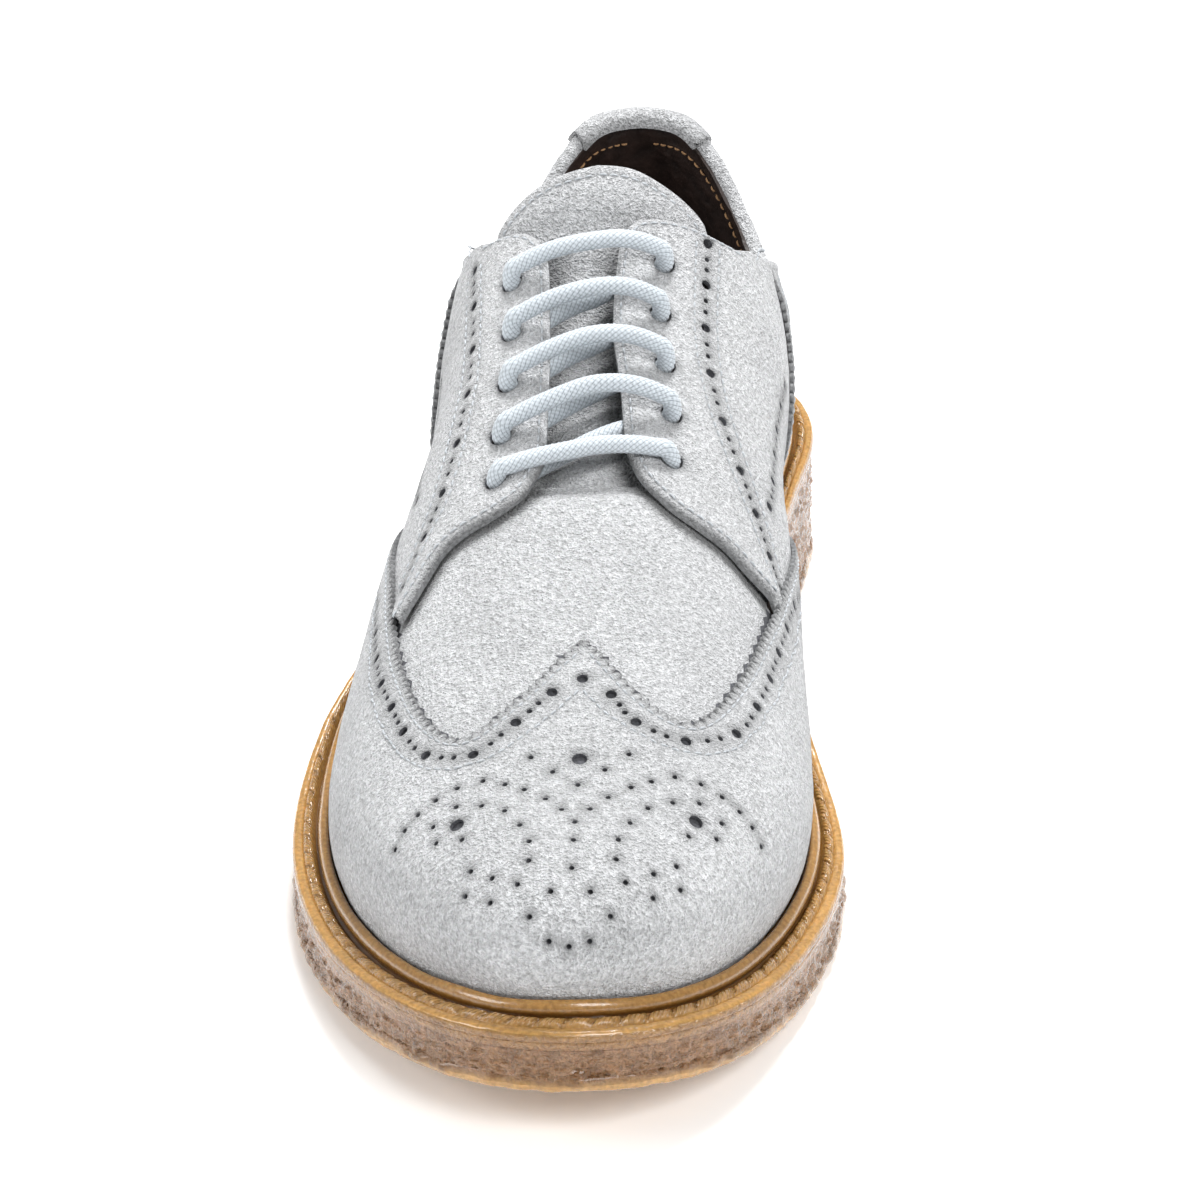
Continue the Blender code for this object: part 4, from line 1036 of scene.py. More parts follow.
def rubber_finish(name, top, wall, deep):
    """Moulded natural rubber, glossy and a little translucent: amber-brown by its mark, partly the gum's own
    amber where it is thick and partly painted shade in its recesses, and pitted like crepe on the wall by a
    grain of 1 mm, with darker blots of some 4 mm. A fine relief twists the beads."""
    finish, tree, shader = new_finish(
        name, Roughness=0.26, IOR=1.52, Subsurface_Weight=0.10, Subsurface_Scale=0.0015,
        Coat_Weight=0.5, Coat_Roughness=0.08)
    where = add_node(tree, "ShaderNodeTexCoord").outputs["Object"]
    on_wall, in_amber_and_shade, rope, bead = (
        add_node(tree, "ShaderNodeAttribute", attribute_name=key).outputs["Fac"]
        for key in ("wall", "deep", "rope", "bead"))
    base = add_node(tree, "ShaderNodeMix", {"Factor": on_wall, "A": top, "B": wall}, data_type="RGBA")
    broad, _ = mottled(tree, where, base.outputs["Result"], size=0.012, dark=0.92, light=1.08, detail=2.0)
    close, pits = mottled(tree, where, broad, size=0.0010, dark=0.70, light=1.22, detail=3.0)
    flat = add_node(tree, "ShaderNodeVectorMath", {0: where, 1: (1.0, 1.0, 2.2)}, operation="MULTIPLY")
    blots = add_node(tree, "ShaderNodeTexNoise", {
        "Vector": flat.outputs["Vector"], "Scale": 240.0, "Detail": 4.0})
    blots = add_node(tree, "ShaderNodeMapRange", {
        "Value": blots.outputs["Fac"], "From Min": 0.52, "From Max": 0.66, "To Min": 0.0, "To Max": 0.75})
    # Darker in blots on the wall, and amber by its mark: the gum's own amber, with painted shade at the lip's
    # foot, in the groove and between the beads
    amount = add_node(tree, "ShaderNodeMath", {
        0: blots.outputs["Result"], 1: on_wall, 2: in_amber_and_shade}, operation="MULTIPLY_ADD", use_clamp=True)
    mix = add_node(tree, "ShaderNodeMix", {
        "Factor": amount.outputs[0], "A": close, "B": deep}, data_type="RGBA")
    tree.links.new(mix.outputs["Result"], shader.inputs["Base Color"])
    # The relief in metres: a sine of the rope's turns on the beads, and pits, which are deep on the wall
    turn = add_node(tree, "ShaderNodeMath", {0: rope, 1: 2 * pi}, operation="MULTIPLY")
    wave = add_node(tree, "ShaderNodeMath", {0: turn.outputs[0]}, operation="SINE")
    wave = add_node(tree, "ShaderNodeMath", {0: wave.outputs[0], 1: bead}, operation="MULTIPLY")
    twist = add_node(tree, "ShaderNodeMath", {0: wave.outputs[0], 1: 0.00016}, operation="MULTIPLY")
    rough = add_node(tree, "ShaderNodeMath", {0: on_wall, 1: 0.05}, operation="ADD")
    pitted = add_node(tree, "ShaderNodeMath", {0: pits, 1: rough.outputs[0]}, operation="MULTIPLY")
    height = add_node(tree, "ShaderNodeMath", {
        0: pitted.outputs[0], 1: 0.0030, 2: twist.outputs[0]}, operation="MULTIPLY_ADD")
    bump = add_node(tree, "ShaderNodeBump", {"Height": height.outputs[0], "Distance": 1.0, "Strength": 1.0})
    tree.links.new(bump.outputs["Normal"], shader.inputs["Normal"])
    return finish


def lace_finish(name, colour, painted_shade):
    """Braided cotton, tight and clean: pale yarns with painted shade between the braid's bumps."""
    finish, tree, shader = new_finish(name, Roughness=0.8, Sheen_Weight=0.15)
    where = add_node(tree, "ShaderNodeTexCoord").outputs["Object"]
    groove = add_node(tree, "ShaderNodeAttribute", attribute_name="groove")
    base = add_node(tree, "ShaderNodeMix", {
        "Factor": groove.outputs["Fac"], "A": colour, "B": painted_shade}, data_type="RGBA")
    base = base.outputs["Result"]
    close, height = mottled(tree, where, base, size=0.0005, dark=0.92, light=1.05, detail=2.0)
    tree.links.new(close, shader.inputs["Base Color"])
    bump = add_node(tree, "ShaderNodeBump", {"Height": height, "Distance": 0.00012, "Strength": 0.6})
    tree.links.new(bump.outputs["Normal"], shader.inputs["Normal"])
    return finish


def finish_of(key):
    """The named finish of the shoe, made once."""
    colours = bpy.context.scene.shoe_colours
    makers = {
        # Calf suede, dyed light grey
        "suede": lambda: suede_finish("calf_suede", colours.suede, colours.raw),
        # The same suede's cut edge: open fibres that hold shade
        "raw": lambda: rough_finish(
            "raw_suede_edge", colours.raw, 0.0007, 0.6, 1.35, 0.0004, Roughness=1.0),
        # Painted shade: a dark grey for the holes' walls and for the suede seen through them, in place of the
        # shade in the holes
        "hole_shade": lambda: rough_finish("dark_backing", colours.hole_shade, 0.0006, 0.6, 1.3, 0.0002, Roughness=1.0),
        # Pigskin lining, dark brown, with a soft shine and fine creases
        "lining": lambda: rough_finish(
            "pigskin_lining", colours.lining, 0.0035, 0.55, 1.6, 0.0012, Roughness=0.55, IOR=1.5),
        # Spun polyester thread, slightly fuzzy
        "thread": lambda: rough_finish(
            "polyester_thread", colours.thread, 0.0005, 0.8, 1.15, 0.0001, Roughness=0.8),
        # The same thread, dyed tan
        "lining_thread": lambda: rough_finish(
            "tan_thread", colours.lining_thread, 0.0005, 0.8, 1.15, 0.0001, Roughness=0.7),
        # Braided cotton
        "lace": lambda: lace_finish("braided_cotton", colours.lace, colours.lace_shade),
        # Moulded natural rubber
        "gum": lambda: rubber_finish("moulded_gum", colours.gum, colours.sidewall, colours.amber_and_painted_shade),
        # Crepe rubber, the same mass on the wall
        "sidewall": lambda: rubber_finish("crepe_rubber", colours.gum, colours.sidewall, colours.amber_and_painted_shade),
    }
    key_name = "shoe_" + key
    if key_name not in bpy.context.scene:
        bpy.context.scene[key_name] = makers[key]().name
    return bpy.data.materials[bpy.context.scene[key_name]]


def leather_finishes():
    """Outer face, inner face and cut rims of a piece of leather, and the painted shade of its hole walls and
    covered places.
    """
    return [finish_of("suede"), finish_of("lining"), finish_of("raw"), finish_of("hole_shade")]


def level(value):
    """The same offset everywhere."""
    def at(uv):
        """The offset, once for each place."""
        return np.full(len(uv), float(value))
    return at


def wing_lift(uv):
    """The wing's outer face: flush at the toe, one layer up over the quarters, thinned at the sole."""
    share = share_of(uv[:, 0])
    return LAP * (1 - step(share, LAP_START, LAP_END)) * step(uv[:, 1], THIN_LOW, THIN_HIGH)


def counter_lift(uv):
    """The counter's outer face: one layer up over the quarters, thinned at the sole and the collar."""
    share = share_of(uv[:, 0])
    top = rise_at(place_of(share), collar_height(share))
    return LAP * step(uv[:, 1], THIN_LOW, THIN_HIGH) * (1 - step(uv[:, 1], top - 0.10, top - 0.01))


def wing_loop(pitch=None, depth=0.0):
    """The wing cap's closed outline: its pinked upper edge and the foot line round the toe."""
    right = curved(side_edge(WING, 1))
    left = curved(side_edge(WING, -1))[::-1]
    if pitch:
        right, left = pinked(right, pitch, -depth), pinked(left, pitch, -depth)
    else:
        right, left = spaced(right, 0.002), spaced(left, 0.002)
    toe = foot_line(right[-1, 0], 2 + left[0, 0])
    return np.concatenate([left[:-1], right, toe]), np.concatenate([left, right])


def wing_cap_seams():
    """The two rows of stitches beside the wing's edge, one on each side of its punched row."""
    lines = []
    for side in (-1, 1):
        edge = curved(side_edge(WING, side))
        edge = spaced(edge, 0.002)
        for by in PINKED_SEAMS:
            line = beside(edge, -side * by)
            lines.append(line[(line[:, 1] > 0.12) & (np.sign(line[:, 0]) == side)])
    return lines


def row_holes(row, large, small):
    """Large holes at a row's places, and two small ones in each gap, as (u, t, diameter)."""
    holes = [(u, t, large) for u, t in row]
    line = curved(row)
    for a in range(len(row) - 1):
        part = line[a * CURVE_STEPS:(a + 1) * CURVE_STEPS + 1]
        along = lengths(placed(part))
        for at in SMALL_PLACES:
            spot = [np.interp(at * along[-1], along, part[:, k]) for k in (0, 1)]
            holes.append((spot[0], spot[1], small))
    return holes


def medallion_holes(pins, diameter):
    """Both halves of the medallion's pins, turned a little with the toe, as (u, t, diameter)."""
    places = []
    for pin in pins:
        for side in ((1, -1) if pin.across else (1,)):
            x, y = side * pin.across * 0.001, -pin.ahead * 0.001
            places.append((MEDALLION_PLACE[0] + x - MEDALLION_TURN * MEDALLION_SHEAR * y,
                           MEDALLION_PLACE[1] + y + MEDALLION_TURN * x))
    line = over_plan(*np.array(places).T)
    return [(u, t, diameter) for u, t in line]


def stitched(name, lines, off, finish, way=1):
    """Seams as one piece: a capsule for each stitch, sunk at both ends, with a ring of six points at five
    stations. They lie on the outer face, or with way -1 on the inner face."""
    sizes = bpy.context.scene.shoe_sizes
    stations = np.array([0.0, 0.16, 0.5, 0.84, 1.0])
    girth = np.array([0.35, 0.9, 1.0, 0.9, 0.35])
    sink = np.array([-0.55, -0.05, 0.20, -0.05, -0.55]) * sizes.thread * way
    spots = []
    for line in lines:
        if len(line) < 3:
            continue
        along = lengths(placed(line))
        count = max(int(along[-1] / sizes.stitch), 1)
        start = (np.arange(count) + 0.14) * along[-1] / count
        at = start[:, None] + stations * STITCH_SHARE * along[-1] / count
        spots.append(np.stack([np.interp(at, along, line[:, k]) for k in (0, 1)], -1))
    spots = np.concatenate(spots)
    count = len(spots)
    flat = spots.reshape(-1, 2)
    middle = lifted(flat, off(flat) + np.tile(sink, count)).reshape(count, 5, 3)
    out = normal(flat[:, 0], flat[:, 1]).reshape(count, 5, 3)
    along = np.gradient(middle, axis=1)
    side = np.cross(out, along)
    side /= np.linalg.norm(side, axis=-1, keepdims=True)
    up = np.cross(along, side)
    up /= np.linalg.norm(up, axis=-1, keepdims=True)
    turn = np.linspace(0, 2 * pi, 6, endpoint=False)
    radius = sizes.thread / 2 * girth[None, :, None, None]
    ring = middle[:, :, None] + radius * (np.cos(turn)[:, None] * side[:, :, None]
                                          + np.sin(turn)[:, None] * up[:, :, None])
    points = ring.reshape(-1, 3)
    i, j = np.meshgrid(np.arange(4), np.arange(6), indexing="ij")
    quads = np.stack([i * 6 + j, i * 6 + (j + 1) % 6, (i + 1) * 6 + (j + 1) % 6, (i + 1) * 6 + j], -1)
    first = np.array([[3, 2, 1, 0], [5, 4, 3, 0]])
    last = np.array([[24, 25, 26, 27], [24, 27, 28, 29]])
    one = np.concatenate([quads.reshape(-1, 4), first, last])
    faces = (one[None] + 30 * np.arange(count)[:, None, None]).reshape(-1, 4)
    return add_piece(name, points, outward(points, faces), [finish], None)


def upper_outer(uv):
    """The vamp's face: one layer under the wing, and dipping to the tongue at the throat."""
    throat = np.concatenate([curved(side_edge(THROAT, side)) for side in (-1, 1)])
    front = throat[share_of(throat[:, 0]) > THROAT_FRONT]
    gap = near(placed(uv), placed(front))
    return -LAP - THROAT_DIP * bell(gap, 0.0040)


def upper_inner(uv):
    """The lining's face: at one depth, and deeper where the vamp dips."""
    return np.minimum(WALL_INSIDE, upper_outer(uv) - VAMP_THICKNESS)


def quarter_edges(side):
    """The quarter's free edge: its facing, from the collar to the wing."""
    return curved(side_edge(FACING, side))


def loose_flap(line, start):
    """The part of a facing's edge from a share of the length on: its loose flap over the vamp."""
    return line[share_of(line[:, 0]) > start]


def quarter_outer(uv):
    """The quarter's face: lifted by a bell along its free flap, and sunk under the wing and the counter."""
    side = 1 if uv[:, 0].mean() > 0 else -1
    free = quarter_edges(side)
    flap = loose_flap(free, FLAP_FRONT)
    at = placed(uv)
    to_free = near(at, placed(free))
    lift = FLAP_LIFT * bell(near(at, placed(flap)), FLAP_REACH)
    lift = lift + 0.00025 * bell(to_free, 0.004)
    off = lift + 0.0004 * waves(at, 0.024, 11) * bell(to_free, 0.012)
    flat = unrolled(uv)
    under_wing = inside(flat, unrolled(wing_loop()[0]))
    counter = counter_edge(side)
    limit = np.interp(uv[:, 1], counter[::-1, 1], share_of(counter[::-1, 0]))
    under_counter = share_of(uv[:, 0]) < limit
    off = np.where(under_wing, np.minimum(off, wing_lift(uv) - LAP), off)
    return np.where(under_counter, np.minimum(off, counter_lift(uv) - LAP), off)


def quarter_inner(uv):
    """The quarter's back: one layer under its face, and deeper by a bell along its thick free edge."""
    side = 1 if uv[:, 0].mean() > 0 else -1
    free = quarter_edges(side)
    gap = near(placed(uv), placed(free))
    return quarter_outer(uv) - PANEL - 0.0013 * bell(gap, FLAP_REACH)


def quarter_seams(side):
    """The quarter's stitches: along its free edge, and on both sides of the facing's punched row."""
    free = spaced(quarter_edges(side), 0.002)
    first = beside(free, side * EDGE_SEAM)
    table = FACING_ROW_MEDIAL if side > 0 else FACING_ROW_LATERAL
    row = spaced(curved(punched(table, side)), 0.002)
    collar = spaced(collar_edge(side, COUNTER_TOP, COLLAR_END), 0.002)
    top = beside(collar, -side * COLLAR_SEAM)
    wing = spaced(curved(side_edge(WING, side)), 0.002)
    lines = [first, beside(row, ROW_SEAM), beside(row, -ROW_SEAM), top]
    keep = []
    flat_wing = unrolled(wing_loop()[0])
    for line in lines:
        covered = inside(unrolled(line), flat_wing)
        gap = near(placed(line), placed(wing))
        keep.append(line[~covered & (gap > 0.001)])
    return keep


def quarter_holes(side):
    """The quarter's punched rows and eyelets, as (u, t, diameter)."""
    sizes = bpy.context.scene.shoe_sizes
    facing = FACING_ROW_MEDIAL if side > 0 else FACING_ROW_LATERAL
    low = SIDE_ROW_MEDIAL if side > 0 else SIDE_ROW_LATERAL
    holes = row_holes(punched(facing, side), sizes.large_hole, sizes.small_hole)
    holes += row_holes(punched(low, side), sizes.large_hole, sizes.small_hole)
    collar = spaced(collar_edge(side, COUNTER_TOP + 0.004, COLLAR_END), 0.0045)
    for u, t in beside(collar, -side * COLLAR_HOLES)[1:-1]:
        holes.append((u, t, sizes.small_hole * 1.5))
    holes += [(u, t, sizes.eyelet) for u, t in side_edge(EYELETS, side)]
    return holes


def counter_loop(pitch, depth):
    """The counter's closed outline: the collar, two pinked front edges and the foot line round the heel."""
    right, left = counter_edge(1), counter_edge(-1)
    lateral, medial = collar_edge(-1, 0.0, COUNTER_TOP), collar_edge(1, 0.0, COUNTER_TOP)
    collar = np.concatenate([lateral[::-1], medial[1:]])
    collar = spaced(collar, 0.002)
    right = pinked(right, pitch, depth)
    left = pinked(left[::-1], pitch, depth)
    foot = foot_line(right[-1, 0], left[0, 0])
    return np.concatenate([collar[:-1], right, foot, left[:-1]]), np.concatenate([left, right])


def lace_bar(start, end, off, lift):
    """A run over the ridge between two places, off metres from the surface, raised by a sine of its way to a
    power, so that it is highest past its middle and comes down steeply."""
    w = np.linspace(0, 1, 161)
    share = share_of(start[0]) * (1 - w) + share_of(end[0]) * w
    side = np.where(w < 0.5, np.sign(start[0]), np.sign(end[0]))
    rise = np.where(w < 0.5, start[1], end[1])
    t = 1 - (1 - rise) * np.abs(2 * w - 1) ** BAR_ARCH
    line = np.stack([side * place_of(share), t], -1)
    run = lifted(line, off + lift * np.sin(pi * w ** BAR_SKEW) ** 0.8)
    for _ in range(BAR_SMOOTHING):
        run[1:-1] = (run[:-2] + 2 * run[1:-1] + run[2:]) / 4
    return run


def trimmed(run, at_start, at_end, count):
    """A run cut back at its ends and spaced evenly."""
    along = lengths(run)
    at = np.linspace(at_start, along[-1] - at_end, count)
    return np.stack([np.interp(at, along, run[:, k]) for k in range(3)], -1)


def lace_path():
    """One lace: a bar over each row of eyelets, down the medial eyelet, and under to the next row."""
    radius = LACE_DIAMETER / 2
    over = LACE_GAP + radius
    under = -0.0018 - LACE_GAP / 2 - radius
    left, right = side_edge(EYELETS, -1), side_edge(EYELETS, 1)
    path = [lifted(left[:1], under)]
    for k, row in enumerate(EYELETS):
        bar = lace_bar(left[k], right[k], over, BAR_LIFT * row.lift)
        path.append(lifted(left[k:k + 1], -PANEL / 2))
        path.append(trimmed(bar, LACE_BEND, LACE_BEND, 14))
        path.append(lifted(right[k:k + 1], -PANEL / 2))
        if k < len(EYELETS) - 1:
            crossing = lace_bar(right[k], left[k + 1], under, 0.0)
            path.append(trimmed(crossing, LACE_BEND, LACE_BEND, 14))
    path.append(lifted(right[-1:], under))
    return np.concatenate(path)


def carried_frames(path):
    """Two directions across a path that turn as little as they can from point to point."""
    along = np.gradient(path, axis=0)
    along /= np.linalg.norm(along, axis=1, keepdims=True)
    side = np.cross(along[0], [0.0, 0.0, 1.0])
    sides = []
    for way in along:
        side = side - way * (side @ way)
        side = side / np.linalg.norm(side)
        sides.append(side)
    sides = np.array(sides)
    return sides, np.cross(along, sides)


def sole_places(pitch):
    """Places round the sole's outline: the same on both sides, at about one pitch, from heel to heel."""
    fine = np.linspace(0, 1, 4001)
    both = np.stack([outline(fine)[0], outline(fine)[1], -outline(-fine)[0], outline(-fine)[1]], -1)
    along = lengths(both) / np.sqrt(2)
    count = int(along[-1] / pitch)
    place = np.interp(np.linspace(0, along[-1], count + 1), along, fine)
    return np.concatenate([place[:-1], -place[:0:-1]])


def ring(u, inset, z):
    """A ring of points round the sole at an inset and a height."""
    x, y = outline(u, inset)
    return np.stack([x, y, np.broadcast_to(z, x.shape)], -1)


def spine(share):
    """The sole's middle line at shares of the length, kept off its two ends."""
    u = place_of(np.clip(share, 0.09, 0.90))
    left, right = outline(-u), outline(u)
    return (left[0] + right[0]) / 2, (left[1] + right[1]) / 2


class ShoeStep:
    """What the shoe's operators share."""
    bl_options = {"REGISTER", "UNDO"}


class SHOE_OT_upper(ShoeStep, bpy.types.Operator):
    """Add the vamp and the lining: one hollow wall, open at the collar, the throat and underneath."""
    bl_idname = "shoe.upper"
    bl_label = "Vamp and lining"

    def execute(self, context):
        sides = []
        for side in (-1, 1):
            collar = collar_edge(side, 0.0, COLLAR[-1].share)
            sides.append(spaced(np.concatenate([collar, curved(side_edge(THROAT, side))]), 0.0022))
        opening = np.concatenate([sides[1], sides[0][::-1][1:-1]])
        flat_wing = unrolled(wing_loop()[0])

        def covered(flat, share):
            """Which places lie under the wing, or under the quarters and the counter."""
            return inside(flat, flat_wing) | (share < 0.45)

        hollow_upper("vamp_and_lining", opening, covered)
        return {"FINISHED"}


def hollow_upper(name, opening, covered):
    """The upper wall: the whole surface less its opening, cut as one piece with the opening as its hole."""
    u = sole_places(0.003)
    rim = np.stack([u, np.full(len(u), BASE_RISE)], -1)
    uv_fill = even_fill(0.0024)
    flat_rim, flat_open = unrolled(rim), unrolled(opening)
    at = placed(uv_fill)
    keep = inside(unrolled(uv_fill), flat_rim) & ~inside(unrolled(uv_fill), flat_open)
    keep &= near(at, placed(rim)) > 0.0012
    keep &= near(at, placed(opening)) > 0.0011
    uv = np.concatenate([rim, opening, uv_fill[keep]])
    spots = unrolled(uv)
    tris = joined(spots, looped(0, len(rim)) + looped(len(rim), len(opening)))
    middle = spots[tris].mean(1)
    tris = tris[inside(middle, flat_rim) & ~inside(middle, flat_open)]
    on, out = placed(uv), normal(uv[:, 0], uv[:, 1])
    rumple = 0.00012 * waves(on, 0.020, 3)
    creases = 0.0003 * waves(on, 0.012, 21) + 0.0002 * waves(on, 0.005, 22)
    top = on + out * (upper_outer(uv) + rumple)[:, None]
    low = on + out * (upper_inner(uv) + creases)[:, None]
    every, _ = walled(tris, top, out)
    marks = np.ones(len(every))
    hidden = covered(spots[tris].mean(1), share_of(uv[tris][..., 0]).mean(1))
    # Places under the wing and the quarters take the painted hole shade, which shows through the holes
    marks[:len(tris)] = np.where(hidden, 3, 0)
    used, renamed = np.unique(every, return_inverse=True)
    # Painted shade: the vamp's nap is darkened in a band along the loose flaps, where they shade it
    painted_shade = 0.0
    for side in (-1, 1):
        flap = spaced(loose_flap(quarter_edges(side), FLAP_START), 0.001)
        painted_shade = painted_shade + bell(near(on, placed(flap)), 0.0016)
    painted_shade = np.tile(np.clip(painted_shade, 0, 1), 2)[used]
    points = np.concatenate([top, low])[used]
    return add_piece(name, points, renamed.reshape(every.shape), leather_finishes(), marks,
                     ["upper"], {"raw": painted_shade, "worn": painted_shade})


class SHOE_OT_wing(ShoeStep, bpy.types.Operator):
    """Add the wing cap with its pinked edge, its punched row and its medallion."""
    bl_idname = "shoe.wing"
    bl_label = "Wing cap"

    def execute(self, context):
        sizes = context.scene.shoe_sizes
        loop, raw = wing_loop(sizes.tooth, sizes.tooth_depth)
        holes = [(place_of(WING_TOP_HOLE), 1.0 - 1e-4, sizes.large_hole)]
        for table, side in ((WING_ROW_LATERAL, -1), (WING_ROW_MEDIAL, 1)):
            holes += row_holes(punched(table, side), sizes.large_hole, sizes.small_hole)
        holes += medallion_holes(MEDALLION_LARGE, sizes.large_hole * MEDALLION_GROW)
        holes += medallion_holes(MEDALLION, sizes.pin_hole)
        seams = wing_cap_seams()
        cut_leather("wing_cap_suede", loop, wing_lift, lambda uv: wing_lift(uv) - PANEL, ["wing_cap"],
                    raw, holes, seams)
        stitched("wing_stitches", seams, lambda uv: wing_lift(uv) - SEAM_BED, finish_of("thread"))
        return {"FINISHED"}


class SHOE_OT_quarters(ShoeStep, bpy.types.Operator):
    """Add the two quarters with their free facings, eyelets, punched rows and stitches."""
    bl_idname = "shoe.quarters"
    bl_label = "Quarters"

    def execute(self, context):
        for side, name in ((-1, "quarter_lateral"), (1, "quarter_medial")):
            collar = spaced(collar_edge(side, COUNTER_TOP - 0.02, COLLAR[-1].share), 0.0016)
            facing = spaced(quarter_edges(side), 0.0013)
            under = side_edge(WING, side)
            under = under[(np.abs(under[:, 0]) < np.abs(facing[-1, 0])) & (under[:, 1] < facing[-1, 1])]
            under = beside(spaced(curved(under), 0.003), -UNDERLAP * side)
            under = under[(under[:, 1] < facing[-1, 1] - 0.03)]
            back = beside(spaced(counter_edge(side), 0.003), UNDERLAP * side)
            back = back[(back[:, 1] < collar[0, 1] - 0.03)]
            foot = foot_line(under[-1, 0], back[-1, 0])
            loop = np.concatenate([collar, facing[1:], under, foot, back[::-1]])
            seams = quarter_seams(side)
            cut_leather(name + "_suede", loop, quarter_outer, quarter_inner, [name],
                        loose_flap(facing, FLAP_START), quarter_holes(side), seams,
                        edge_drop=0.0015, round_way=0.0020)
            stitched(name + "_stitches", seams, lambda uv: quarter_outer(uv) - SEAM_BED, finish_of("thread"))
        return {"FINISHED"}


class SHOE_OT_counter(ShoeStep, bpy.types.Operator):
    """Add the heel counter, the collar's turned edge and the strip folded over it at the back."""
    bl_idname = "shoe.counter"
    bl_label = "Counter and collar"

    def execute(self, context):
        sizes = context.scene.shoe_sizes
        loop, raw = counter_loop(sizes.tooth, sizes.tooth_depth)
        holes, seams = [], []
        for side in (-1, 1):
            edge = spaced(counter_edge(side), 0.002)
            row = beside(edge, side * COUNTER_ROW)
            row = spaced(row[(row[:, 1] > 0.14) & (row[:, 1] < edge[0, 1] - 0.06)], COUNTER_ROW_PITCH)
            holes += row_holes(row, sizes.large_hole, sizes.small_hole)
            for by in PINKED_SEAMS:
                line = beside(edge, side * by)
                seams.append(line[(line[:, 1] > 0.12) & (line[:, 1] < edge[0, 1] - 0.03)])
        cut_leather("counter_suede", loop, counter_lift, lambda uv: counter_lift(uv) - PANEL,
                    ["heel_counter"], raw, holes, seams)
        stitched("counter_stitches", seams, lambda uv: counter_lift(uv) - SEAM_BED, finish_of("thread"))
        self.add_collar_band()
        self.add_tab()
        rows = []
        for side in (-1, 1):
            share = np.linspace(0.004, 0.27, 60)
            u = side * place_of(share)
            rows.append(np.stack([u, rise_at(u, collar_height(share) - LINING_SEAM_DROP)], -1))
        stitched("lining_stitches", rows, level(WALL_INSIDE - 2 * SEAM_BED), finish_of("lining_thread"),
                 -1)
        return {"FINISHED"}

    def add_collar_band(self):
        """The turned edge: a rounded profile of offsets and heights over the collar, carried along it."""
        half = np.linspace(0, BAND_END, 90)
        share = np.concatenate([half[::-1], half[1:]])
        u = place_of(share) * np.concatenate([-np.ones(90), np.ones(89)])
        u = spaced(np.stack([u, rise_at(u, collar_height(share))], -1), 0.0014)[:, 0]
        share = share_of(u)
        fade = step(BAND_END - share, 0.0, 0.05)
        # Millimetres off the surface and over the collar's height
        section = np.array([
            (-0.60, -3.2), (-0.10, -2.3), (0.14, -1.5), (0.22, -0.8), (0.10, -0.1), (-0.35, 0.45),
            (-1.05, 0.72), (-1.85, 0.70), (-2.60, 0.40), (-3.15, -0.15), (-3.40, -0.8), (-3.45, -1.6),
            (-3.20, -2.3), (-2.20, -2.2), (-1.40, -2.5),
        ]) * 0.001
        rows = []
        for off, height in section:
            height = height * (0.55 + 0.45 * fade) + 0.0014 * bell(share, 0.09)
            t = rise_at(u, collar_height(share) + height)
            line = np.stack([u, t], -1)
            off = off * (0.45 + 0.55 * fade) + 0.00012 * waves(surface(u, t), 0.006, 31)
            rows.append(lifted(line, off))
        strip_piece("collar_band", np.array(rows), [finish_of("suede")], ())

    def add_tab(self):
        """The strip: rows from its foot outside, over the collar, to the inside, with frayed long edges."""
        wide = 25
        places = np.linspace(-1, 1, wide)
        probe = np.linspace(0, 0.3, 121)
        rng = np.random.default_rng(5)

        def row(drop, off, fray):
            """A row across the strip, a drop under the collar, with its two ends moved by the fray."""
            line = surface(probe, rise_at(probe, BACK_HEIGHT - drop))[:, 0]
            reach = np.interp(TAB_WIDTH / 2, line - line[0], probe)
            u = places * reach
            u[[0, -1]] *= 1 + fray
            t = rise_at(u, collar_height(share_of(u)) - drop)
            line = np.stack([u, t], -1)
            return lifted(line, off(line) if callable(off) else np.full(wide, off))

        # Over the collar: millimetres off the surface and over the collar's height
        crown = np.array([
            (0.45, -2.4), (0.45, -1.2), (0.42, 0.0), (0.16, 1.2), (-0.42, 2.1), (-1.20, 2.5), (-2.10, 2.45),
            (-2.85, 2.0), (-3.35, 1.3), (-3.62, 0.5), (-3.68, -0.1),
        ]) * 0.001
        way = np.gradient(crown, axis=0)
        out = np.stack([way[:, 1], -way[:, 0]], -1) / np.linalg.norm(way, axis=1, keepdims=True)
        fray = rng.uniform(-0.020, 0.028, (40, 2))

        def skin(thick):
            """The strip's face, some thickness outside its back."""
            rows = [row(drop, lambda line: counter_lift(line) + 0.0003 + thick, fray[k])
                    for k, drop in enumerate(np.linspace(TAB_DROP, 0.0034, 20))]
            for k, (off, height) in enumerate(crown + out * thick):
                rows.append(row(-height, off, fray[20 + k]))
            return np.array(rows)

        thick = 0.0008
        inner = skin(0.0)
        ring_rows = np.concatenate([skin(thick), inner[::-1]])
        edge = np.zeros(ring_rows.shape[:2])
        edge[:, [0, -1]] = 0.55
        strip_piece("heel_strip", ring_rows, [finish_of("suede")], ["heel_tab"], edge)


def strip_piece(name, rows, finishes, nodes, raw=None):
    """A bent strip: rows of points go round its section, each row runs along it, and both ends are closed."""
    turns, count = rows.shape[:2]
    quads = grid_quads(turns, count, wrap_count=False)
    i = np.arange((turns - 1) // 2)
    first = np.stack([i, (turns - 1 - i) % turns, (turns - 2 - i) % turns, i + 1], -1)
    ends = []
    for column, turned in ((0, False), (count - 1, True)):
        face = first * count + column
        ends.append(face[:, ::-1] if turned else face)
    faces = np.concatenate([quads] + ends)
    points = rows.reshape(-1, 3)
    zeros = np.zeros(len(points))
    return add_piece(name, points, outward(points, faces), finishes, None, nodes,
                     {"raw": zeros if raw is None else raw.ravel(), "worn": zeros})


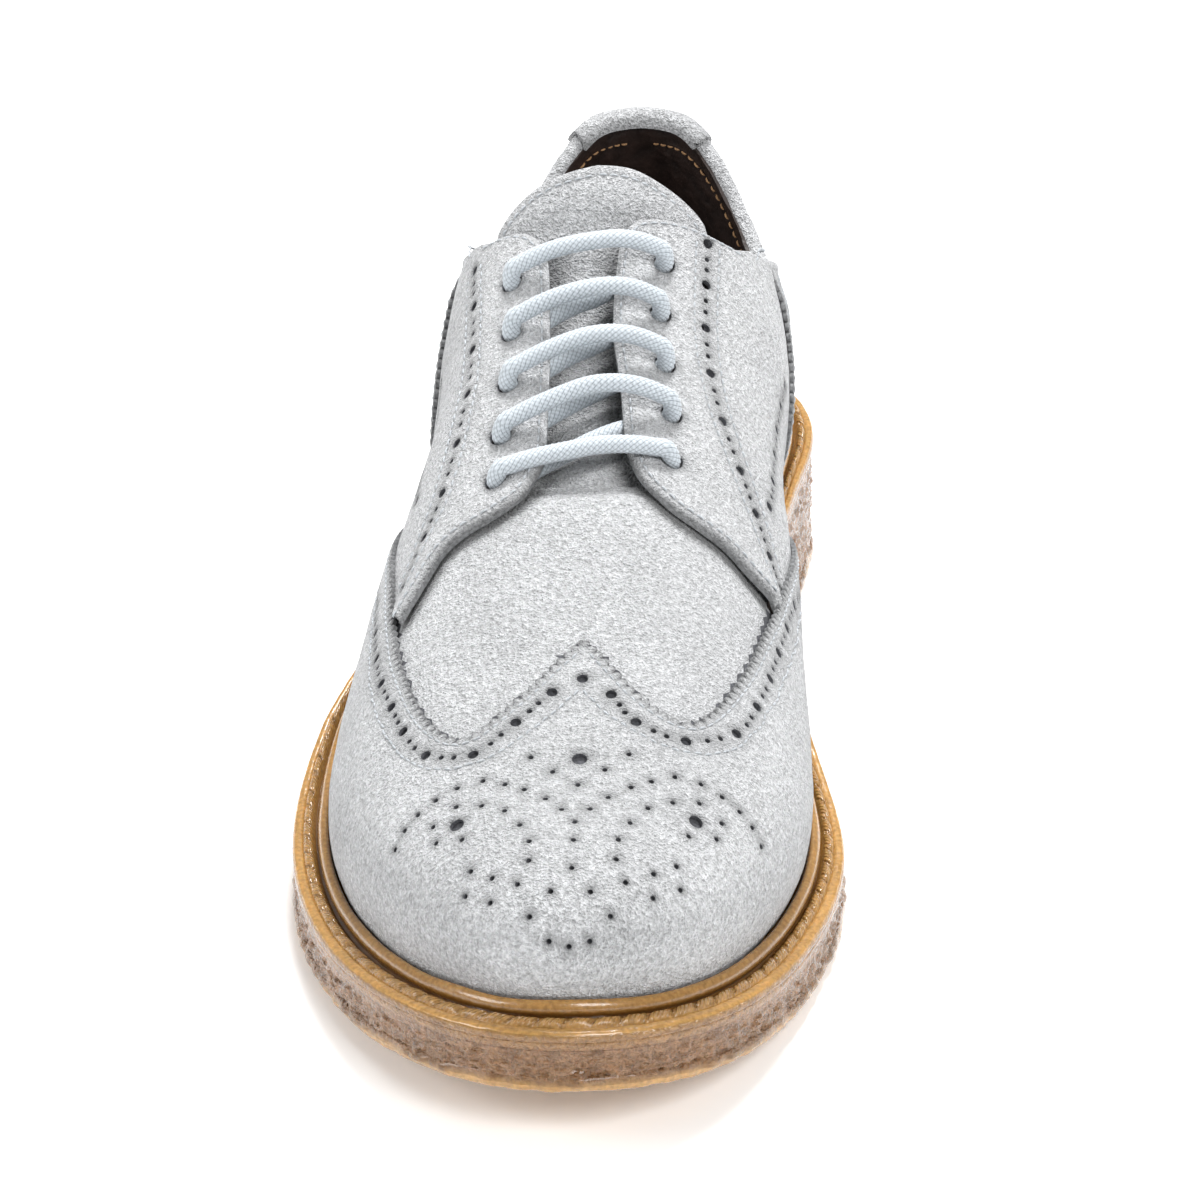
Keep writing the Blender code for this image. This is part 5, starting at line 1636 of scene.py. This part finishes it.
class SHOE_OT_tongue(ShoeStep, bpy.types.Operator):
    """Add the rounded tongue with its edge stitches."""
    bl_idname = "shoe.tongue"
    bl_label = "Tongue"

    def execute(self, context):
        right = spaced(edge_curve(TONGUE, 1), 0.0014)
        left = spaced(edge_curve(TONGUE, -1), 0.0014)
        loop = np.concatenate([right, left[::-1][1:-1]])
        lines = []
        for side, edge in ((1, right), (-1, left)):
            line = beside(edge, -COLLAR_SEAM * side)
            lines.append(line[(share_of(line[:, 0]) < 0.36) & (np.sign(line[:, 0]) == side)])

        def outer(uv):
            """The tongue's face: at a depth read from a table of shares."""
            return -read(TONGUE_DEPTH, share_of(uv[:, 0]), "depth")

        # Painted shade: a broad band of the raw edge's grey beside the facings' edges, where they shade the
        # tongue
        shade_from_facings = np.concatenate([spaced(quarter_edges(side), 0.002) for side in (-1, 1)])
        shade_from_facings = shade_from_facings[share_of(shade_from_facings[:, 0]) > 0.35]
        cut_leather("tongue_suede", loop, outer, lambda uv: outer(uv) - TONGUE_THICKNESS, ["tongue"],
                    shade_from_facings, (), lines, edge_drop=0.0009, raw_way=0.0040)
        stitched("tongue_stitches", lines, lambda uv: outer(uv) - SEAM_BED, finish_of("thread"))
        return {"FINISHED"}


class SHOE_OT_laces(ShoeStep, bpy.types.Operator):
    """Add the braided lace: bars over, crossings under, through the eyelets, and no bow."""
    bl_idname = "shoe.laces"
    bl_label = "Lace"

    def execute(self, context):
        """A circle carried along the path. Its radius has bumps in staggered rows: the root of the product of
        two cosines that wind round the lace both ways. It shrinks to a point at both ends."""
        sizes = context.scene.shoe_sizes
        path = curved(lace_path(), 12)
        path = trimmed(path, 0.0, 0.0, int(lengths(path)[-1] / LACE_STEP))
        side, up = carried_frames(path)
        along = lengths(path)[:, None]
        turn = np.linspace(0, 2 * pi, LACE_SIDES, endpoint=False)[None]
        number = pi / sizes.braid
        braid = np.abs(np.cos(CARRIERS * turn + number * along) * np.cos(CARRIERS * turn - number * along))
        radius = LACE_DIAMETER / 2 - 0.00020 + 0.00027 * np.sqrt(braid)
        radius = radius * np.ones_like(along)
        ends = np.minimum(along, along[-1] - along)
        radius *= np.sqrt(1 - (1 - np.clip(ends / 0.002, 0, 1)) ** 2) * 0.999 + 0.001
        points = path[:, None] + radius[..., None] * (np.cos(turn)[..., None] * side[:, None]
                                                      + np.sin(turn)[..., None] * up[:, None])
        count, wide = points.shape[:2]
        quads = grid_quads(count, wide, wrap_turns=False)
        caps = []
        for base, turned in ((0, False), ((count - 1) * wide, True)):
            k = np.arange(wide // 2 - 1)
            face = np.stack([base + k, base + k + 1, base + wide - 2 - k, base + wide - 1 - k], -1)
            caps.append(face[:, ::-1] if turned else face)
        faces = np.concatenate([quads] + caps)
        points = points.reshape(-1, 3)
        # Painted shade: darker between the braid's bumps
        groove = np.clip(1 - 2.5 * braid, 0, 1).ravel()
        add_piece("braided_lace", points, outward(points, faces), [finish_of("lace")], None,
                  ["laces"], {"groove": groove})
        return {"FINISHED"}


class SHOE_OT_sole(ShoeStep, bpy.types.Operator):
    """Add the moulded sole: storm welt with its beads, crepe sidewall, outsole and footbed."""
    bl_idname = "shoe.sole"
    bl_label = "Sole"

    def execute(self, context):
        sizes = context.scene.shoe_sizes
        u = sole_places(sizes.sole_step)
        share = share_of(u)
        along = lengths(ring(u, 0.0, 0.0))
        self.add_welt(u, share, along, sizes)
        self.add_sidewall(u, share, sizes)
        self.add_outsole(u, share, along)
        self.add_footbed()
        return {"FINISHED"}

    def add_welt(self, u, share, along, sizes):
        """The welt's section carried round: a rounded land, a row of twisted beads, a groove and the lip.

        A bead's height is a half ellipse across times one less a high power along.
        """
        top = welt_top(share)
        width = margin(u) - 0.0028
        # Shares of the flange's width, and millimetres under its top
        section = [
            (0.0, 1.70), (0.015, 0.95), (0.045, 0.48), (0.09, 0.20), (0.15, 0.06), (0.22, 0.0), (0.29, 0.0),
            (0.35, 0.08), (0.39, 0.30), (0.42, 0.30), (0.46, 0.20), (0.50, 0.15), (0.54, 0.10), (0.58, 0.10),
            (0.62, 0.10), (0.66, 0.10), (0.70, 0.15), (0.74, 0.20), (0.78, 0.32), (0.82, 0.60), (0.87, 0.90),
            (0.93, 0.95), (1.0, 0.65),
        ]
        count = len(u)
        rows, deep, wall, bead, rope = [], [], [], [], []

        def add(row, depth, side=0.0, on_bead=0.0, twist=0.0):
            """One row of points with its marks for the finish."""
            rows.append(row)
            for values, value in ((deep, depth), (wall, side), (bead, on_bead), (rope, twist)):
                values.append(np.broadcast_to(value, count))

        for part, low in section:
            v = (part - BEAD_MIDDLE) / BEAD_HALF
            turn = (along / sizes.bead + 0.22 * v) % 1
            lump = 1 - np.abs(2 * turn - 1) ** 6
            dome = np.sqrt(max(1 - v * v, 0.0))
            spots = ring(u, part * width, top)
            z = top - low * 0.001 + BEAD_HEIGHT * dome * lump + 0.00010 * waves(spots, 0.004, 41)
            # Painted shade: darker amber in the gaps between the beads and in the groove by the lip
            gap = np.clip(1.25 * dome * (1 - lump), 0, 0.8)
            depth = np.maximum(0.5 * gap, 0.85 * step(part, 0.78, 0.86)) + 0.10 * dome
            add(ring(u, part * width, z), depth, step(0.03 - part, 0, 0.03) * 0.7, dome,
                along / ROPE_PITCH + 1.1 * v)
        lip_rise = rise_at(u, top + LIP_HEIGHT)
        out = normal(u, lip_rise)
        out[:, 2] = 0
        out /= np.linalg.norm(out, axis=1, keepdims=True)
        foot, lip = surface(u, 0.0), surface(u, lip_rise)
        reach = np.maximum(((lip - foot) * out).sum(1), 0)[:, None]
        base = foot + out * reach
        up = np.array([0, 0, 1.0])
        # The lip: millimetres out from the leather and over the welt, and how deep the colour is: the gum's
        # amber, with painted shade at the lip's foot on both sides
        lip_section = (
            (2.6, 0.6, 0.85), (2.7, 1.4, 0.55), (2.4, 2.3, 0.35), (1.8, 2.95, 0.25), (1.2, 3.15, 0.25),
            (0.7, 3.0, 0.4), (0.3, 2.5, 0.6), (0.1, 1.8, 0.8))
        wave = 1 + 0.06 * waves(base, 0.02, 42)
        for off, z, depth in lip_section:
            add(base + out * (off * 0.001) + up * (z * 0.001 * wave)[:, None], depth)
        add(foot + out * 0.0001, 0.8)
        under = top - WELT_THICKNESS
        inner = margin(u) + WELT_UNDERLAP
        add(ring(u, inner, top), 0.0)
        add(ring(u, inner, under), 0.0)
        add(ring(u, 0.0010, under), 0.0, 1.0)
        for inset, height, side in ((0.0003, 0.0001, 0.9), (0.0001, 0.0009, 0.7), (0.0, 0.0017, 0.6),
                                    (0.0002, 0.0020, 0.6), (0.0, 0.0022, 0.5)):
            add(ring(u, inset, under + height), 0.15 if inset == 0.0002 else 0.0, side)
        marks = {"deep": deep, "wall": wall, "bead": bead, "rope": rope}
        closed_grid("storm_welt", np.array(rows), [finish_of("gum")], ["welt"],
                    {key: np.array(values).ravel() for key, values in marks.items()})

    def add_sidewall(self, u, share, sizes):
        """The thick wall under the welt: a band drawn out and in by a noise stretched along the sole."""
        low = bottom(share) + OUTSOLE_THICKNESS - 0.0002
        high = welt_top(share) - WELT_THICKNESS - 0.0001
        rows = []
        for part in np.linspace(0, 1, 30):
            z = low + (high - low) * part
            spots = ring(u, 0.0, z)
            rough = step(high - z, 0.0004, 0.0022)
            squashed = spots * [1.0, 1.0, 1.9]
            crumb = waves(squashed, 0.0042, 51) + 0.6 * waves(squashed, 0.0021, 52)
            inset = 0.0005 + sizes.crumb * (0.1 - crumb) * rough
            rows.append(ring(u, inset, z))
        inner = margin(u) + WELT_UNDERLAP
        rows.append(ring(u, inner, high))
        rows.append(ring(u, inner, low))
        rows = np.array(rows)
        flat = np.zeros(rows.shape[0] * rows.shape[1])
        closed_grid("crepe_sidewall", rows, [finish_of("sidewall")], ["midsole"],
                    {"deep": flat, "wall": flat + 1, "bead": flat, "rope": flat})

    def add_outsole(self, u, share, along):
        """The bottom strip: its tread from the middle to the edge, its rounded edge with a broken row of
        moulded stitches, and its top back to the middle."""
        spine_x, spine_y = spine(share)

        def laid(part, lift, inset=0.0030):
            """Points part of the way from the edge to the middle, on the underside and lift over it."""
            x, y = outline(u, inset)
            x, y = x + (spine_x - x) * part, y + (spine_y - y) * part
            z = bottom(0.5 - y / SOLE_LENGTH)
            return np.stack([x, y, z + lift(x, y)], -1)

        def tread(fade):
            """The tread's grooves: a smooth step of a wave along the sole that sways across it."""
            def at(x, y):
                """The groove's height at plan places."""
                sway = TREAD_SWAY * np.sin(2 * pi * x / SWAY_LENGTH)
                wave = np.sin(2 * pi * (y + sway) / TREAD_PITCH)
                return TREAD_DEPTH * fade * step(wave, -0.1, 0.5)
            return at

        rows = [laid(part, tread(1.0)) for part in np.linspace(1, 0.06, 46)]
        rows.append(laid(0.03, tread(0.5)))
        rows.append(laid(0.0, tread(0.0)))
        deep = [np.zeros(len(u)) for _ in rows]
        wall = [np.zeros(len(u)) for _ in rows]
        low = bottom(share)
        broken = step(waves(ring(u, 0, 0), 0.030, 61), -0.5, 0.1)
        dash = 1 - np.abs(2 * ((along / EDGE_STITCH) % 1) - 1) ** 3
        for inset, height, bead in ((0.0012, 0.0, 0), (0.0005, 0.00025, 0), (0.0001, 0.0008, 0),
                                    (-0.0001, 0.0014, 0.15), (-0.0001, 0.0019, 0.8), (0.0, 0.0024, 1.0),
                                    (0.0001, 0.0029, 0.7), (0.0003, 0.0034, 0.1), (0.0008, 0.0037, 0),
                                    (0.0020, 0.0038, 0)):
            spots = ring(u, inset, low + height)
            push = 0.00055 * bead * dash * broken + 0.00022 * waves(spots, 0.005, 62) * (height > 0.0001)
            rows.append(ring(u, inset - push, low + height))
            deep.append(0.75 * bead * broken * step(waves(spots, 0.004, 63), -0.6, 0.6))
            wall.append(np.full(len(u), float(step(height, 0.0018, 0.0034))))
        for part in (0.0, 0.5, 1.0):
            rows.append(laid(part, lambda x, y: np.full(x.shape, OUTSOLE_THICKNESS - 0.0002), 0.006))
            deep.append(np.zeros(len(u)))
            wall.append(np.ones(len(u)))
        deep, wall = np.array(deep).ravel(), np.array(wall).ravel()
        merged_grid("gum_outsole", np.array(rows), [finish_of("gum")], ["outsole"],
                    {"deep": deep, "wall": wall, "bead": deep * 0, "rope": deep * 0})

    def add_footbed(self):
        """The footbed: a slab inside the upper, from its edge to its middle, slightly domed."""
        u = sole_places(0.003)
        share = share_of(u)
        inset = margin(u) - WALL_INSIDE + 0.0010
        spine_x, spine_y = spine(share)

        def laid(part, lift):
            """Points part of the way from the edge to the middle line, lift over the welt's top."""
            x, y = outline(u, inset)
            x, y = x + (spine_x - x) * part, y + (spine_y - y) * part
            return np.stack([x, y, welt_top(0.5 - y / SOLE_LENGTH) + lift], -1)

        rows = [laid(part, 0.0) for part in (1.0, 0.5, 0.0)]
        for part in (0.0, 0.03, 0.10, 0.3, 0.5, 0.7, 0.85, 1.0):
            rows.append(laid(part, INSOLE_THICKNESS - 0.0008 * bell(part, 0.05)))
        merged_grid("footbed", np.array(rows), [finish_of("lining")], ["insole"])


def merged_grid(name, rows, finishes, nodes, attributes=None):
    """A piece from closed rows whose first and last row fold onto themselves along the middle line."""
    points = rows.reshape(-1, 3)
    quads = grid_quads(*rows.shape[:2], wrap_turns=False)
    tris = np.concatenate([quads[:, [0, 1, 2]], quads[:, [0, 2, 3]]])
    keys = np.round(points / 2e-6).astype(np.int64)
    _, first, back = np.unique(keys, axis=0, return_index=True, return_inverse=True)
    tris = back.reshape(-1)[tris]
    whole = (tris[:, 0] != tris[:, 1]) & (tris[:, 1] != tris[:, 2]) & (tris[:, 0] != tris[:, 2])
    points = points[first]
    attributes = {key: values[first] for key, values in (attributes or {}).items()}
    tris = outward(points, tris[whole])
    return add_piece(name, points, tris, finishes, None, nodes, attributes)


class SHOE_OT_stage(ShoeStep, bpy.types.Operator):
    """Add the floor, the soft studio lights, the world and the camera."""
    bl_idname = "shoe.stage"
    bl_label = "Stage"

    def execute(self, context):
        scene = context.scene
        corners = [(x * FLOOR_REACH, y * FLOOR_REACH, 0.0) for x, y in ((-1, -1), (1, -1), (1, 1), (-1, 1))]
        mesh = bpy.data.meshes.new("floor")
        mesh.from_pydata(corners, [], [(0, 1, 2, 3)])
        # Painted board, matt, lit until it is nearly white
        finish, _, _ = new_finish("painted_board", Base_Color=scene.shoe_colours.floor, Roughness=0.9,
                                  Emission_Color=(1, 1, 1, 1), Emission_Strength=FLOOR_GLOW)
        mesh.materials.append(finish)
        floor = bpy.data.objects.new("floor", mesh)
        scene.collection.objects.link(floor)
        for name, place, width, power in LAMPS:
            lamp = bpy.data.lights.new(name, "AREA")
            lamp.shape = "SQUARE"
            lamp.size = width
            lamp.energy = power
            item = bpy.data.objects.new(name, lamp)
            item.location = place
            way = Vector(LAMP_TARGET) - Vector(place)
            item.rotation_euler = way.to_track_quat("-Z", "Y").to_euler()
            scene.collection.objects.link(item)
        world = bpy.data.worlds.new("studio")
        world.use_nodes = True
        backdrop = world.node_tree.nodes["Background"]
        backdrop.inputs["Color"].default_value = (1, 1, 1, 1)
        backdrop.inputs["Strength"].default_value = WORLD_LIGHT
        scene.world = world
        scene.view_settings.view_transform = "Standard"
        self.add_camera(scene)
        return {"FINISHED"}

    def add_camera(self, scene):
        """The camera of the photo: azimuth, elevation and roll about a target on the shoe."""
        azimuth, elevation, roll = CAMERA_AZIMUTH, CAMERA_ELEVATION, CAMERA_ROLL
        target = np.array(CAMERA_TARGET) - [CENTRE_X, 0, 0]
        back = np.array([sin(azimuth) * cos(elevation), -cos(azimuth) * cos(elevation), sin(elevation)])
        right = np.array([cos(azimuth), sin(azimuth), 0.0])
        up = np.cross(back, right)
        right, up = cos(roll) * right + sin(roll) * up, cos(roll) * up - sin(roll) * right
        lens = bpy.data.cameras.new("camera")
        lens.sensor_width = SENSOR_WIDTH
        lens.lens = FOCAL_PIXELS / PICTURE_WIDTH * SENSOR_WIDTH
        item = bpy.data.objects.new("camera", lens)
        turned = Matrix(np.stack([right, up, back], -1).tolist()).to_4x4()
        turned.translation = (target + back * CAMERA_DISTANCE).tolist()
        item.matrix_world = turned
        scene.collection.objects.link(item)
        scene.camera = item


class SHOE_PT_panel(bpy.types.Panel):
    """The shoe's pieces, sizes and colours."""
    bl_label = "Shoe"
    bl_idname = "SHOE_PT_panel"
    bl_space_type = "VIEW_3D"
    bl_region_type = "UI"
    bl_category = "Shoe"

    def draw(self, context):
        """The pieces' buttons, then the sizes and the colours."""
        for step_class in STEPS:
            self.layout.operator(step_class.bl_idname)
        for group in (context.scene.shoe_sizes, context.scene.shoe_colours):
            box = self.layout.box()
            for key in group.__annotations__:
                box.prop(group, key)


STEPS = (SHOE_OT_stage, SHOE_OT_sole, SHOE_OT_upper, SHOE_OT_wing, SHOE_OT_quarters, SHOE_OT_counter,
         SHOE_OT_tongue, SHOE_OT_laces)
CLASSES = (ShoeSizes, ShoeColours, *STEPS, SHOE_PT_panel)


def register():
    """Register the add-on's classes and its two groups of properties."""
    for item in CLASSES:
        bpy.utils.register_class(item)
    bpy.types.Scene.shoe_sizes = bpy.props.PointerProperty(type=ShoeSizes)
    bpy.types.Scene.shoe_colours = bpy.props.PointerProperty(type=ShoeColours)


def unregister():
    """Undo what register does."""
    del bpy.types.Scene.shoe_colours
    del bpy.types.Scene.shoe_sizes
    for item in reversed(CLASSES):
        bpy.utils.unregister_class(item)


def main():
    register()
    for step_class in STEPS:
        group, name = step_class.bl_idname.split(".")
        getattr(getattr(bpy.ops, group), name)()


if __name__ == "__main__":
    main()
